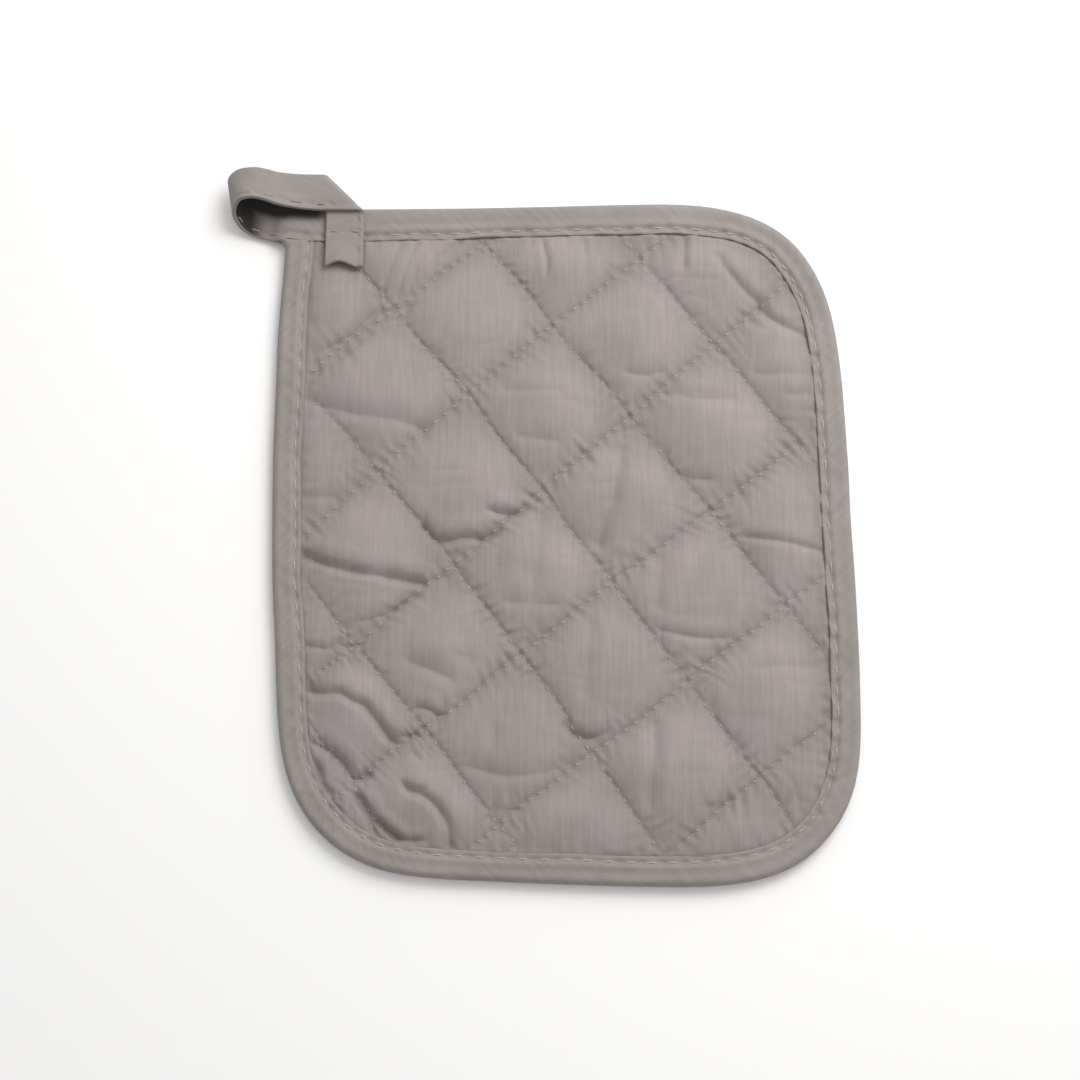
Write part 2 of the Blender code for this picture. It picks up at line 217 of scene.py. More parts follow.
# Where the tape's open edge is loose: runs along the body, and how it comes and goes between stitches
GAPE_FROM = 190 * MM
GAPE_TO = 375 * MM
GAPE_FADE = 18 * MM
GAPE_LAP = 12 * MM
GAPE_ON_TOP = 0.5
GAPE_DASH = 3.0 * MM

# Small folds across the rows, and the groove that the thread pulls. Ripple sizes are along and across a row.
PUCKER_HEIGHT = 0.92 * MM
PUCKER_REACH = 3.0 * MM
PUCKER_HELD = 0.9 * MM
PUCKER_SPANS = np.array([9, 7, 11, 5]) * MM  # of their lean, their phase, their strength and their reach
RIPPLE_SIZE = (2.3 * MM, 9 * MM)
FINE_RIPPLE_SIZE = (1.2 * MM, 4 * MM)
GROOVE_DEPTH = 0.08 * MM
HOLE_DEPTH = 0.36 * MM
GROOVE_WIDTH = 0.95 * MM

# Soft wrinkles of the front, gathers beside the tape, in size along it and across, and how the back lies on
# the table
SWELL_HEIGHT = 0.30 * MM
VALLEY_DEPTH = 0.42 * MM
GATHER_HEIGHT = 0.45 * MM
GATHER_SIZE = (2.4 * MM, 9 * MM)
GATHER_FROM_TAPE = 1.4 * MM
GATHER_REACH = 3.0 * MM
LIP_BULGE_AT = 0.8 * MM
FRONT_RISE = 1.1 * MM
BACK_RELIEF = 0.6
BACK_COVER = 1.0 * MM
BACK_RISE = 3.4 * MM
PRESS_ROUNDING = 0.35 * MM
PRESS_INTO_TABLE = 0.03 * MM

# The creases that show, one by one, in millimetres from the body's middle: how deep, how far the cloth slopes
# down to it on the left of its run and on its right, and the places it runs through.
CREASES = (
    # The left side, from the square corner down
    (0.4, 2.6, 2.2, (-78.5, 82), (-73, 84), (-68, 87.5)),
    (0.5, 2.2, 1.6, (-86.5, 58), (-81, 61), (-75.5, 64), (-70, 67.5), (-65, 72.5), (-59, 77)),
    (0.5, 1.6, 2.2, (-86, 51), (-80.5, 54.5), (-74, 59), (-67.5, 64), (-61.5, 68.5)),
    (0.8, 4.5, 4.0, (-88.5, 46), (-82, 43.5), (-75, 41.5), (-68.5, 39.5), (-62, 38.5), (-53.5, 37),
     (-43, 33.5)),
    (0.5, 3.4, 2.6, (-90, 10.5), (-84.5, 11), (-79.5, 11.5), (-74.5, 11.5), (-69.5, 9.5)),
    (1.9, 3.6, 2.4, (-90, -7), (-85, -8.5), (-81, -9.5), (-77, -11), (-70.5, -13), (-62.5, -14.5), (-53, -16),
     (-46.5, -17), (-42.5, -17)),
    (0.8, 2.2, 2.2, (-43.5, -17.5), (-40, -15.5), (-37, -14.5), (-34, -11)),
    (0.7, 2.4, 2.0, (-68, -30), (-62.5, -29), (-57.5, -27), (-53, -24.5), (-49, -22), (-44.5, -20)),
    (0.7, 2.4, 1.8, (-88, -37), (-82.5, -37.5), (-76.5, -38.5), (-72, -37), (-68, -40.5)),
    (0.9, 5.0, 4.0, (-53, -41), (-47.5, -43.5), (-43, -45.5), (-38, -47.5), (-34, -50)),
    # The bottom left corner, where the cloth is most gathered
    (1.7, 3.4, 2.4, (-88, -51.5), (-82.5, -52), (-77, -53), (-72, -53), (-67.5, -55.5), (-64, -57),
     (-61, -60.5), (-58, -64.5), (-55.5, -67.5), (-51.5, -70)),
    (1.3, 3.0, 2.2, (-86.5, -66.5), (-81.5, -68.5), (-76, -70.5), (-72.5, -73), (-69.5, -76.5),
     (-67, -80), (-63, -79.5), (-59.5, -76.5)),
    (1.7, 2.6, 2.0, (-81, -72.5), (-79, -77), (-77, -82), (-74.5, -86.5), (-72, -90), (-69, -92)),
    (2.0, 2.6, 2.0, (-67, -83.5), (-64, -88.5), (-62, -91.5), (-60.5, -96), (-59.5, -100.5)),
    (2.0, 2.2, 1.8, (-61, -91.5), (-58, -94.5), (-55, -97), (-51, -100.5)),
    (0.9, 1.8, 1.8, (-55.5, -97), (-51.5, -99), (-47, -99.5), (-42.5, -98.5)),
    (1.5, 3.2, 2.4, (-52.5, -79.5), (-49.5, -83.5), (-45.5, -85), (-42, -87.5), (-39, -91), (-37, -95),
     (-36.5, -100), (-36.5, -105)),
    (0.4, 2.0, 2.0, (-50.5, -69.5), (-48.5, -71.5), (-44, -76.5)),
    (1.0, 2.4, 2.0, (-50.5, -59), (-46, -57.5), (-42.5, -58.5), (-40.5, -60), (-37, -58.5)),
    (0.6, 2.2, 1.8, (-53, -66.5), (-48, -66.5), (-42.5, -67)),
    # Gathers below the top seam
    (0.4, 1.6, 1.6, (-60.5, 83), (-58, 90), (-55.5, 97), (-54, 102)),
    (0.5, 1.5, 1.5, (-56, 77), (-54.5, 84), (-52, 92), (-50, 97.5), (-48.5, 102)),
    (0.45, 1.5, 1.5, (-53, 79), (-50.5, 85), (-48, 92.5)),
    (0.4, 1.6, 1.6, (-48, 83), (-45, 89), (-41, 94.5), (-36.5, 98), (-33, 102)),
    (0.5, 1.6, 1.6, (-54.5, 72.5), (-51.5, 76), (-48.5, 79.5)),
    (0.6, 2.2, 1.8, (-8, 103), (-6.5, 97), (-5.5, 91.5), (-6, 85)),
    (0.6, 2.0, 1.8, (6, 105), (6.5, 100.5), (7, 96), (6.5, 91.5)),
    (0.7, 2.0, 2.0, (40.5, 107), (40.5, 101), (40.5, 94.5), (40.5, 87)),
    # The long fold across the top right corner
    (1.2, 2.6, 3.2, (50.5, 97), (54, 90), (57.5, 85.5), (60.5, 82), (64, 79), (67, 74.5), (70.5, 71.5),
     (75, 69), (80, 67), (85, 65.5)),
    # The middle, from the top down
    (0.5, 3.0, 2.6, (18, 54.5), (25, 53), (30, 53.5), (36, 55.5)),
    (0.6, 4.0, 3.4, (30, 47), (37, 46), (48, 44), (59.5, 44.5)),
    (0.5, 4.0, 3.0, (-23, 48), (-11, 47), (2, 46.5)),
    (0.45, 4.0, 3.2, (-17.5, 33), (-8, 31), (1.5, 30)),
    (1.3, 4.8, 7.0, (19.5, 30.5), (18, 21), (15.5, 11), (12.5, 1), (10.5, -7.5)),
    (1.5, 3.2, 2.4, (-47.5, 3.5), (-44, -0.5), (-41.5, -3), (-37, -3), (-32, -2), (-27, -2.5), (-23.5, -1.5),
     (-20, 1.5)),
    (1.1, 2.8, 2.2, (-26.5, 8), (-22.5, 6.5), (-17.5, 5.5), (-13.5, 6.5), (-10.5, 9.5)),
    (0.65, 4.6, 6.5, (-7, 9), (-8.5, -3), (-9.5, -14), (-10, -25)),
    (0.45, 4.0, 3.2, (-21.5, -23), (-9.5, -24), (1.5, -24)),
    (0.8, 4.2, 6.5, (32, -5), (31, -16), (30, -28)),
    (0.8, 2.6, 2.2, (28, -31.5), (35.5, -33.5), (43.5, -35), (55.5, -35)),
    (0.6, 4.4, 6.5, (8.5, -27), (8, -40.5), (6.5, -56)),
    (1.1, 2.6, 2.2, (-1.5, -60), (1.5, -65), (6, -67), (11, -66.5), (15.5, -63.5)),
    (0.45, 4.0, 3.4, (-22.5, -60), (-22.5, -66.5), (-23.5, -72.5)),
    (0.8, 3.8, 6.0, (29, -60), (28, -75.5), (27, -92)),
    (0.55, 4.6, 3.6, (-33.5, -75), (-21.5, -78.5), (-11, -78.5), (1.5, -76)),
    (0.45, 2.4, 2.2, (-22, -88.5), (-17, -90), (-12, -89)),
    # The right side, from the top down
    (0.4, 2.6, 2.6, (61, 55), (66.5, 53), (76.5, 53.5), (84, 54)),
    (0.4, 2.2, 2.2, (71, 46), (79, 46.5), (86, 47)),
    (0.6, 3.0, 2.6, (36.5, 19.5), (44, 17.5), (51, 17.5)),
    (0.9, 2.6, 2.2, (55.5, -1.5), (63.5, -2.5), (73, -4), (82, -6), (90, -7.5)),
    (0.45, 3.4, 2.8, (58.5, -46), (69, -44.5), (81.5, -45), (88, -45.5)),
    (0.4, 2.4, 2.0, (70.5, -77.5), (72.5, -82), (73.5, -86.5), (74, -91)),
    (0.4, 3.0, 2.4, (41.5, -88.5), (47.5, -88), (55, -86)),
)
CREASE_SAMPLES = 60
CREASE_FADE = 4 * MM
CREASE_DEEPER = 1.3
CREASE_RIDGE = 0.25
CREASE_ROUNDING = 0.11
CREASE_UNEVEN_SPAN = 6 * MM
CREASE_PULL = 0.5
CREASE_PULL_REACH = 1.8 * MM


def smoothstep(x):
    """A soft step: 0 below 0, 1 above 1, 3x^2 - 2x^3 between."""
    x = np.clip(x, 0.0, 1.0)
    return x * x * (3 - 2 * x)


def within(x, start, end, rise, fall=None):
    """1 between start and end and 0 outside, with soft steps inside them that are rise and fall long."""
    return smoothstep((x - start) / rise) * smoothstep((end - x) / (fall or rise))


def hump(x, width, middle=0):
    """A bell of height 1: exp(-((x - middle) / width)^2)."""
    return np.exp(-((x - middle) / width) ** 2)


def unit(vectors):
    """Vectors made 1 long."""
    return vectors / np.linalg.norm(vectors, axis=-1)[..., None]


def run_along(line):
    """The run so far at each point of a line."""
    return np.append(0.0, np.cumsum(np.linalg.norm(np.diff(line, axis=0), axis=1)))


def read_columns(place, known, table):
    """A table's columns at places between the known places of its rows."""
    return np.stack([np.interp(place, known, column) for column in table.T], axis=-1)


def soft_noise(x, y, seed):
    """A smooth relief from -1 to 1 with humps about 1 apart: random values at whole numbers, and soft steps
    between them."""
    table = np.random.default_rng(seed).uniform(-1, 1, (64, 64))
    column, row = np.floor(x).astype(int), np.floor(y).astype(int)
    along, up = smoothstep(x - column), smoothstep(y - row)
    near, far, low, high = column % 64, (column + 1) % 64, row % 64, (row + 1) % 64
    below = table[near, low] * (1 - along) + table[far, low] * along
    above = table[near, high] * (1 - along) + table[far, high] * along
    return below * (1 - up) + above * up


def on_body(across, up):
    """The place of a point given as shares, -1 to 1, of the way across and up the body: a blend of its four
    corners, bowed out by a parabola at each side."""
    top_left, top_right, bottom_right, bottom_left = CORNER_PLACES
    right = (1 + across)[:, None] / 2
    top = (1 + up)[:, None] / 2
    place = (1 - right) * (top * top_left + (1 - top) * bottom_left)
    place += right * (top * top_right + (1 - top) * bottom_right)
    top_bow, right_bow, bottom_bow, left_bow = SIDE_BOWS
    place[:, 0] += (1 - up ** 2) * (right[:, 0] * right_bow - (1 - right[:, 0]) * left_bow)
    place[:, 1] += (1 - across ** 2) * (top[:, 0] * top_bow - (1 - top[:, 0]) * bottom_bow)
    return place


def body_edge():
    """The body's edge, clockwise from the square corner and back: straight runs between corners that are
    quarters of |x|^3.1 + |y|^3.1 = 1. Gives each point's x, y, inward normal, tape width and run so far."""
    turns = np.array([[-1.0, 1.0], [1.0, 1.0], [1.0, -1.0], [-1.0, -1.0]])
    half = np.abs(CORNER_PLACES).mean(axis=0)
    share = np.linspace(0, 1, STEPS_A_STRETCH)[:, None]
    ahead = np.sin(math.pi / 2 * share) ** (2 / ROUNDING_POWER)
    aside = np.cos(math.pi / 2 * share) ** (2 / ROUNDING_POWER)
    stretches, widths = [], []
    for side in range(4):
        start, end, after = turns[side], turns[(side + 1) % 4], turns[(side + 2) % 4]
        along, turn = (end - start) / 2, (after - end) / 2
        reach = CORNER_REACHES[(side + 1) % 4]
        leave = start + along * CORNER_REACHES[side] / (np.abs(along) @ half)
        arrive = end - along * reach / (np.abs(along) @ half)
        stretches.append(leave + (arrive - leave) * share)
        widths.append(np.full_like(share, SIDE_WIDTHS[side]))
        if reach:
            ahead_reach = along * reach / (np.abs(along) @ half)
            aside_reach = turn * reach / (np.abs(turn) @ half)
            stretches.append(end - ahead_reach + aside_reach + ahead * ahead_reach - aside * aside_reach)
            widths.append(SIDE_WIDTHS[side] + (SIDE_WIDTHS[(side + 1) % 4] - SIDE_WIDTHS[side]) * share)
    shares = np.concatenate(stretches)
    places = on_body(shares[:, 0], shares[:, 1])
    fresh = np.append(True, np.linalg.norm(np.diff(places, axis=0), axis=1) > SAME_POINT)
    places, widths = places[fresh], np.concatenate(widths)[fresh, 0]
    run = run_along(places)
    even = np.linspace(0, run[-1], int(run[-1] / EDGE_STEP))
    places = read_columns(even, run, places)
    tangent = unit(np.gradient(places, axis=0))
    return places, np.column_stack([tangent[:, 1], -tangent[:, 0]]), np.interp(even, run, widths), even


EDGE_PLACES, EDGE_INWARD, EDGE_WIDTHS, EDGE_RUN = body_edge()
# The top binding is a little wider beside the loop: from and to along it, and how long it rises and falls
EDGE_WIDTHS += TOP_WIDER * within(EDGE_RUN, *TOP_WIDER_RUNS)


def from_edge(places):
    """How far inside the body's edge each place lies (negative outside), the run along the edge at its
    nearest point, and the inward direction there."""
    starts, ends = EDGE_PLACES[:-EDGE_STRIDE:EDGE_STRIDE], EDGE_PLACES[EDGE_STRIDE::EDGE_STRIDE]
    nearest = np.full(places.shape[:-1], np.inf)
    signed, run = np.zeros_like(nearest), np.zeros_like(nearest)
    for index, (start, end) in enumerate(zip(starts, ends)):
        along = end - start
        share = np.clip(((places - start) @ along) / (along @ along), 0, 1)
        off = places - start - share[..., None] * along
        gap = np.hypot(off[..., 0], off[..., 1])
        closer = gap < nearest
        nearest = np.where(closer, gap, nearest)
        side = np.where(off @ np.array([along[1], -along[0]]) > 0, 1.0, -1.0)
        signed = np.where(closer, gap * side, signed)
        run = np.where(closer, EDGE_RUN[index * EDGE_STRIDE] + share * np.hypot(*along), run)
    return signed, run, read_columns(run, EDGE_RUN, EDGE_INWARD)


def inside_tape(gap, run):
    """How far inside the tape's open edge a place lies, from its gap to the body's edge and its run."""
    return gap - np.interp(run, EDGE_RUN, EDGE_WIDTHS)


def row_line(row):
    """A row of stitches as a point on it, its direction and its sideways direction, in millimetres."""
    offset, angle, _ = row
    direction = np.array([math.cos(math.radians(angle)), math.sin(math.radians(angle))])
    sideways = np.array([abs(direction[1]), direction[0] if angle < 0 else -direction[0]])
    return offset * sideways, direction, sideways


def crossing(row_down, row_up):
    """Where two rows meet, each moved sideways by its bow times 1 - (run / span)^2."""
    start_a, along_a, side_a = row_line(row_down)
    start_b, along_b, side_b = row_line(row_up)
    runs = np.linalg.solve(np.stack([along_a, -along_b], axis=1), start_b - start_a)
    place = start_a + along_a * runs[0]
    place += side_a * row_down[2] * (1 - (runs[0] / BOW_SPAN) ** 2)
    place += side_b * row_up[2] * (1 - (runs[1] / BOW_SPAN) ** 2)
    return place * MM


CROSSINGS = np.array([[crossing(down, up) for up in ROWS_UP] for down in ROWS_DOWN])


def smooth_curve(rows, share):
    """A Catmull-Rom curve through the rows of a table, read at shares of the rows' numbers."""
    rows = np.array(rows, float)
    ends = np.concatenate([2 * rows[:1] - rows[1:2], rows, 2 * rows[-1:] - rows[-2:-1]])
    first = np.minimum(share.astype(int), len(rows) - 2)
    t = (share - first)[:, None]
    before, here, there, after = (ends[first + step] for step in range(4))
    bend = 2 * before - 5 * here + 4 * there - after
    twist = 3 * here - 3 * there + after - before
    return here + 0.5 * t * (there - before + t * (bend + t * twist))


def by_crease(places, number, reach):
    """The places within reach of a crease, and for each its run along the crease, the crease's length, how
    far it lies to the left of the crease's run, and the direction to that side."""
    line = smooth_curve(CREASES[number][3:], np.linspace(0, len(CREASES[number]) - 4, CREASE_SAMPLES)) * MM
    runs = run_along(line)
    way = np.gradient(line, axis=0)
    left = unit(np.column_stack([-way[:, 1], way[:, 0]]))
    near = ((places > line.min(axis=0) - reach) & (places < line.max(axis=0) + reach)).all(axis=-1)
    away = places[near][:, None] - line
    closest = (away ** 2).sum(axis=-1).argmin(axis=1)
    away = away[np.arange(len(closest)), closest]
    off = (away * left[closest]).sum(axis=1)
    past = away[:, 0] * left[closest, 1] - away[:, 1] * left[closest, 0]
    return near, runs[closest] + past, runs[-1], off, left[closest]


def quilt_place(u, v):
    """The place on the body of row coordinates: whole u on the rows that run down to the right, whole v on
    those that run up. Straight between crossings, with a slight wander as the hand guides the cloth, and
    drawn in towards each crease, so that the mesh is closest where the cloth bends most."""
    i, j = (np.clip(x.astype(int), 0, CELLS - 1) for x in (u, v))
    s, t = (u - i)[..., None], (v - j)[..., None]
    low = CROSSINGS[i, j] * (1 - t) + CROSSINGS[i, j + 1] * t
    high = CROSSINGS[i + 1, j] * (1 - t) + CROSSINGS[i + 1, j + 1] * t
    place = low * (1 - s) + high * s
    x, y = place[..., 0] / ROW_WANDER_SPAN, place[..., 1] / ROW_WANDER_SPAN
    place = place + ROW_WANDER * np.stack([soft_noise(x, y, 11), soft_noise(x, y, 12)], axis=-1)
    for number in range(len(CREASES)):
        near, run, length, off, left = by_crease(place, number, 3 * CREASE_PULL_REACH)
        pull = CREASE_PULL * within(run, 0, length, CREASE_FADE) * off * hump(off, CREASE_PULL_REACH)
        place[near] -= pull[:, None] * left
    return place


def crease_relief(places):
    """Each crease is a trough, (1 - distance / width)^2 deep, rounded a little at its bottom, with a low
    ridge beside it on its left. It fades out over 4 mm at both ends, and its depth is a little uneven."""
    relief = np.zeros(places.shape[:-1])
    for number, (depth, left, right, *_) in enumerate(CREASES):
        near, run, length, off, _ = by_crease(places, number, 3 * left * MM)
        width = np.where(off > 0, left, right) * MM
        fade = within(run, 0, length, CREASE_FADE)
        fade = fade * (0.9 + 0.3 * soft_noise(run / CREASE_UNEVEN_SPAN, number, 29))
        bottom = CREASE_ROUNDING * min(left, right) * MM
        rounded = np.sqrt(off ** 2 + bottom ** 2) - bottom
        trough = np.maximum(1 - rounded / width, 0) ** 2
        ridge = CREASE_RIDGE * hump(off / MM, 0.8 * left, 1.5 * left)
        relief[near] += CREASE_DEEPER * depth * MM * fade * (ridge - trough)
    return relief


def row_puckers(along, off, row, seed):
    """Small folds across a row: the cloth stands up between needle holes, as -cos with a wandering phase, and
    in sharp-bottomed ripples, 0.5 - |noise|. The thread holds them down, and they fade away from it. Each row
    and side reads another part of the noise."""
    lean_at, phase_at, strength_at, reach_at = (along / span for span in PUCKER_SPANS)
    side = np.sign(off) / 3
    lean = along + 0.6 * off * soft_noise(lean_at, row, seed + 3)
    beat = 2 * math.pi * STITCHES_A_CELL * lean / ROW_PITCH
    between = -np.cos(beat + 2.2 * soft_noise(phase_at + 3 * row, row, seed + 4))
    ripple = soft_noise(lean / RIPPLE_SIZE[0] + 7 * row, off / RIPPLE_SIZE[1] + 13 * row, seed)
    ripple = 0.35 * between + 0.5 - np.abs(ripple) + 0.7 * ripple
    fine = soft_noise(lean / FINE_RIPPLE_SIZE[0] + 3 * row, off / FINE_RIPPLE_SIZE[1] + 5 * row, seed + 1)
    ripple += 0.35 * fine
    strength = 0.75 + 0.75 * soft_noise(strength_at + 5 * row, 2 * row + side, seed + 2)
    reach = PUCKER_REACH * (1 + 0.5 * soft_noise(reach_at + 2 * row, row + side, seed + 5))
    held = 1 - hump(off, PUCKER_HELD)
    return PUCKER_HEIGHT * ripple * strength * held * np.exp(-np.abs(off) / reach)


def row_dips(along_cells, off):
    """The groove of a row, deeper at the needle holes, which stand ten to a cell."""
    hole = (0.5 + 0.5 * np.cos(2 * math.pi * STITCHES_A_CELL * along_cells)) ** 2
    return -(GROOVE_DEPTH + HOLE_DEPTH * hole) * hump(off, GROOVE_WIDTH)


def crown_share(u, v, gap):
    """How full the wadding is, 0 to 1: sin(pi s)^0.88 sin(pi t)^0.88 in a diamond, less near the tape."""
    s, t = u - np.floor(u), v - np.floor(v)
    crown = (np.sin(math.pi * s) * np.sin(math.pi * t)) ** CROWN_ROUNDNESS
    inward = (gap - CROWN_FROM_EDGE) / (CROWN_FULL_AT - CROWN_FROM_EDGE)
    return crown * smoothstep(inward) ** EDGE_ROUNDNESS


def row_effects(u, v, seed):
    """The puckers and grooves of both directions of rows."""
    relief = np.zeros(u.shape)
    for across, along, turn in ((u, v, 0), (v, u, 40)):
        row = np.round(across)
        off = (across - row) * ROW_PITCH
        relief += row_puckers(along * ROW_PITCH, off, row, seed + turn) + row_dips(along, off)
    return relief


def lip_gape(run):
    """How loose the tape's open edge is at a run along the body, 0 to 1: all down the right side, and less
    along the top. Then how far it stands off the panel there, in dashes a few millimetres long."""
    on_top = GAPE_ON_TOP * smoothstep((GAPE_FROM + GAPE_LAP - run) / GAPE_FADE)
    loose = np.maximum(within(run, GAPE_FROM, GAPE_TO, GAPE_FADE), on_top)
    between_stitches = -0.3 * np.cos(2 * math.pi * run / TAPE_STITCH_PITCH)
    dashes = smoothstep(0.5 + between_stitches + 1.2 * soft_noise(run / GAPE_DASH, 0, 19))
    return loose, loose * dashes


def front_height(u, v, places, gap, run):
    """The front: crowns between rows, puckers along them, creases, soft wrinkles that lie mostly level, and
    gathers where the tape is sewn on. Between the places where the tape's edge stands off, the cloth swells
    against it. The wrinkles' sizes are in millimetres."""
    x, y = places[..., 0] / MM, places[..., 1] / MM
    crown = crown_share(u, v, gap)
    fullness = 1 + 0.13 * soft_noise(x / 23, y / 23, 21)
    height = ROW_TOP + (CROWN_TOP - ROW_TOP) * crown * fullness
    height += row_effects(u, v, 31)

    bent_x = x + 5 * soft_noise(x / 14, y / 14, 22)
    bent_y = y + 4 * soft_noise(x / 16, y / 16, 23)
    swell = soft_noise(bent_x / 15, bent_y / 7.5, 24) + 0.4 * soft_noise(bent_x / 7, bent_y / 4.5, 30)
    valley = (1 - np.abs(soft_noise(bent_x / 15, bent_y / 5.5, 25))) ** 5
    patch = smoothstep(0.35 + soft_noise(x / 12, y / 12, 26))
    height += crown * (SWELL_HEIGHT * swell - VALLEY_DEPTH * valley * patch)
    height += crease_relief(places)

    inside = inside_tape(gap, run)
    gather = soft_noise(run / GATHER_SIZE[0], inside / GATHER_SIZE[1], 27)
    height += GATHER_HEIGHT * gather * np.exp(-np.abs(inside - GATHER_FROM_TAPE) / GATHER_REACH)
    loose, gape = lip_gape(run)
    height += LIP_BULGE * (loose - gape) * hump(inside, LIP_BULGE_AT, LIP_BULGE_AT)
    height = np.maximum(height, FRONT_LOWEST)
    under_tape = smoothstep((inside + LIP_COVER) / (LIP_COVER + FRONT_RISE))
    rim = RIM_TOP + (LIP_BED - RIM_TOP) * (1 - gape) * smoothstep((inside + LIP_COVER) / LIP_COVER)
    return rim + (height - rim) * under_tape


def back_height(u, v, places, gap, run):
    """The back: the same crowns turned down and pressed flat by the table, with fainter puckers."""
    crown = crown_share(u, v, gap)
    drop = ROW_BOTTOM - CROWN_SINK * crown - BACK_RELIEF * row_effects(u, v, 71)
    height = 0.5 * (drop + np.sqrt(drop ** 2 + PRESS_ROUNDING ** 2)) - PRESS_INTO_TABLE
    under_tape = smoothstep((inside_tape(gap, run) + BACK_COVER) / BACK_RISE)
    return RIM_BOTTOM + (np.maximum(height, 0) - RIM_BOTTOM) * under_tape


def grid_quads(number):
    """The quads between neighbours of a grid of point numbers, which lie in its last two axes."""
    corners = [number[..., :-1, :-1], number[..., 1:, :-1], number[..., 1:, 1:], number[..., :-1, 1:]]
    return np.stack(corners, axis=-1).reshape(-1, 4)


def quilt_sheet(steps, height):
    """One face as a grid in row coordinates, closer near the rows: s - 0.28 sin(2 pi s) / (2 pi). Quads that
    lie inside the rim are kept, and their outer points move out to it. Gives points, quads, how full the
    wadding is at each point, and the points' places on the flat cloth."""
    even = np.linspace(0, CELLS, CELLS * steps + 1)
    share = even - CROWDING * np.sin(2 * math.pi * even) / (2 * math.pi)
    u, v = np.meshgrid(share, share, indexing="ij")
    places = quilt_place(u, v)
    gap, run, inward = from_edge(places)
    number = np.arange(u.size).reshape(u.shape)
    quads = grid_quads(number)
    quads = quads[(gap.ravel()[quads] > PANEL_INSET).all(axis=1)]
    rim = rim_edges(quads)
    on_rim = np.zeros(u.size, bool)
    on_rim[rim.ravel()] = True
    pull = np.where(on_rim.reshape(u.shape), gap - PANEL_INSET, 0.0)
    places = places - inward * pull[..., None]
    gap = gap - pull
    z = height(u, v, places, gap, run)
    points = np.concatenate([places + BODY_AT, z[..., None]], axis=-1).reshape(-1, 3)
    shade_loft = crown_share(u, v, gap).ravel()
    used, quads = np.unique(quads, return_inverse=True)
    quads = quads.reshape(-1, 4)
    return points[used], quads, shade_loft[used], (places.reshape(-1, 2))[used]


def rim_edges(quads):
    """The edges that belong to one quad only, each as its two points in the quad's own turn."""
    edges = np.stack([quads, np.roll(quads, -1, axis=1)], axis=-1).reshape(-1, 2)
    key = np.sort(edges, axis=1)
    _, first, count = np.unique(key, axis=0, return_index=True, return_counts=True)
    return edges[first[count == 1]]


def mesh_piece(name, points, quads, material, uv_maps=(), attributes=()):
    """A smooth-shaded mesh object at the origin from points and quads, with UV maps and attributes that are
    given a point at a time."""
    mesh = bpy.data.meshes.new(name)
    mesh.vertices.add(len(points))
    mesh.vertices.foreach_set("co", np.ascontiguousarray(points, np.float32).ravel())
    corners = np.ascontiguousarray(quads, np.int32).ravel()
    mesh.loops.add(len(corners))
    mesh.loops.foreach_set("vertex_index", corners)
    mesh.polygons.add(len(quads))
    mesh.polygons.foreach_set("loop_start", np.arange(len(quads), dtype=np.int32) * quads.shape[1])
    for map_name, places in dict(uv_maps).items():
        layer = mesh.uv_layers.new(name=map_name)
        layer.uv.foreach_set("vector", np.ascontiguousarray(places[corners], np.float32).ravel())
    for attribute_name, values in dict(attributes).items():
        layer = mesh.attributes.new(attribute_name, "FLOAT", "POINT")
        layer.data.foreach_set("value", np.ascontiguousarray(values, np.float32).ravel())
    mesh.update(calc_edges=True)
    mesh.shade_smooth()
    mesh.materials.append(material)
    return add_object(name, mesh)


def close_mesh(piece, merge=False, bridge=False, fill=0, turn_out=True):
    """Close a piece's mesh: merge points that fall together, bridge its two open rims, fill holes of up to
    fill sides, and turn its faces outward."""
    shape = bmesh.new()
    shape.from_mesh(piece.data)
    if merge:
        bmesh.ops.remove_doubles(shape, verts=shape.verts, dist=MERGE_WITHIN)
    rims = [edge for edge in shape.edges if edge.is_boundary]
    if bridge:
        bmesh.ops.bridge_loops(shape, edges=rims)
    if fill:
        bmesh.ops.holes_fill(shape, edges=rims, sides=fill)
    if turn_out:
        bmesh.ops.recalc_face_normals(shape, faces=shape.faces)
    shape.to_mesh(piece.data)
    shape.free()
    piece.data.shade_smooth()


# Plain-weave cotton, washed once: matt, with a slight bloom of loose fibre at a low angle. Its thread pitch
# is about 0.4 mm; it is drawn at 0.8 mm, the finest that the render shows. Thick places in the yarn make
# faint streaks along the warp, and the dye has taken a little pinker in some places than in others.
THREAD_PITCH = 0.8 * MM
SLUB_LENGTH = 16 * MM
SLUB_WIDTH = 1.3 * MM
DYE_SCALE = 38.0
# Below this loft the cloth's colour is painted darker: painted shade
FULL_LOFT = 0.45
MERGE_WITHIN = 0.002 * MM
# At this scale the wave texture makes one band to each unit of its map
ONE_BAND = 0.31416


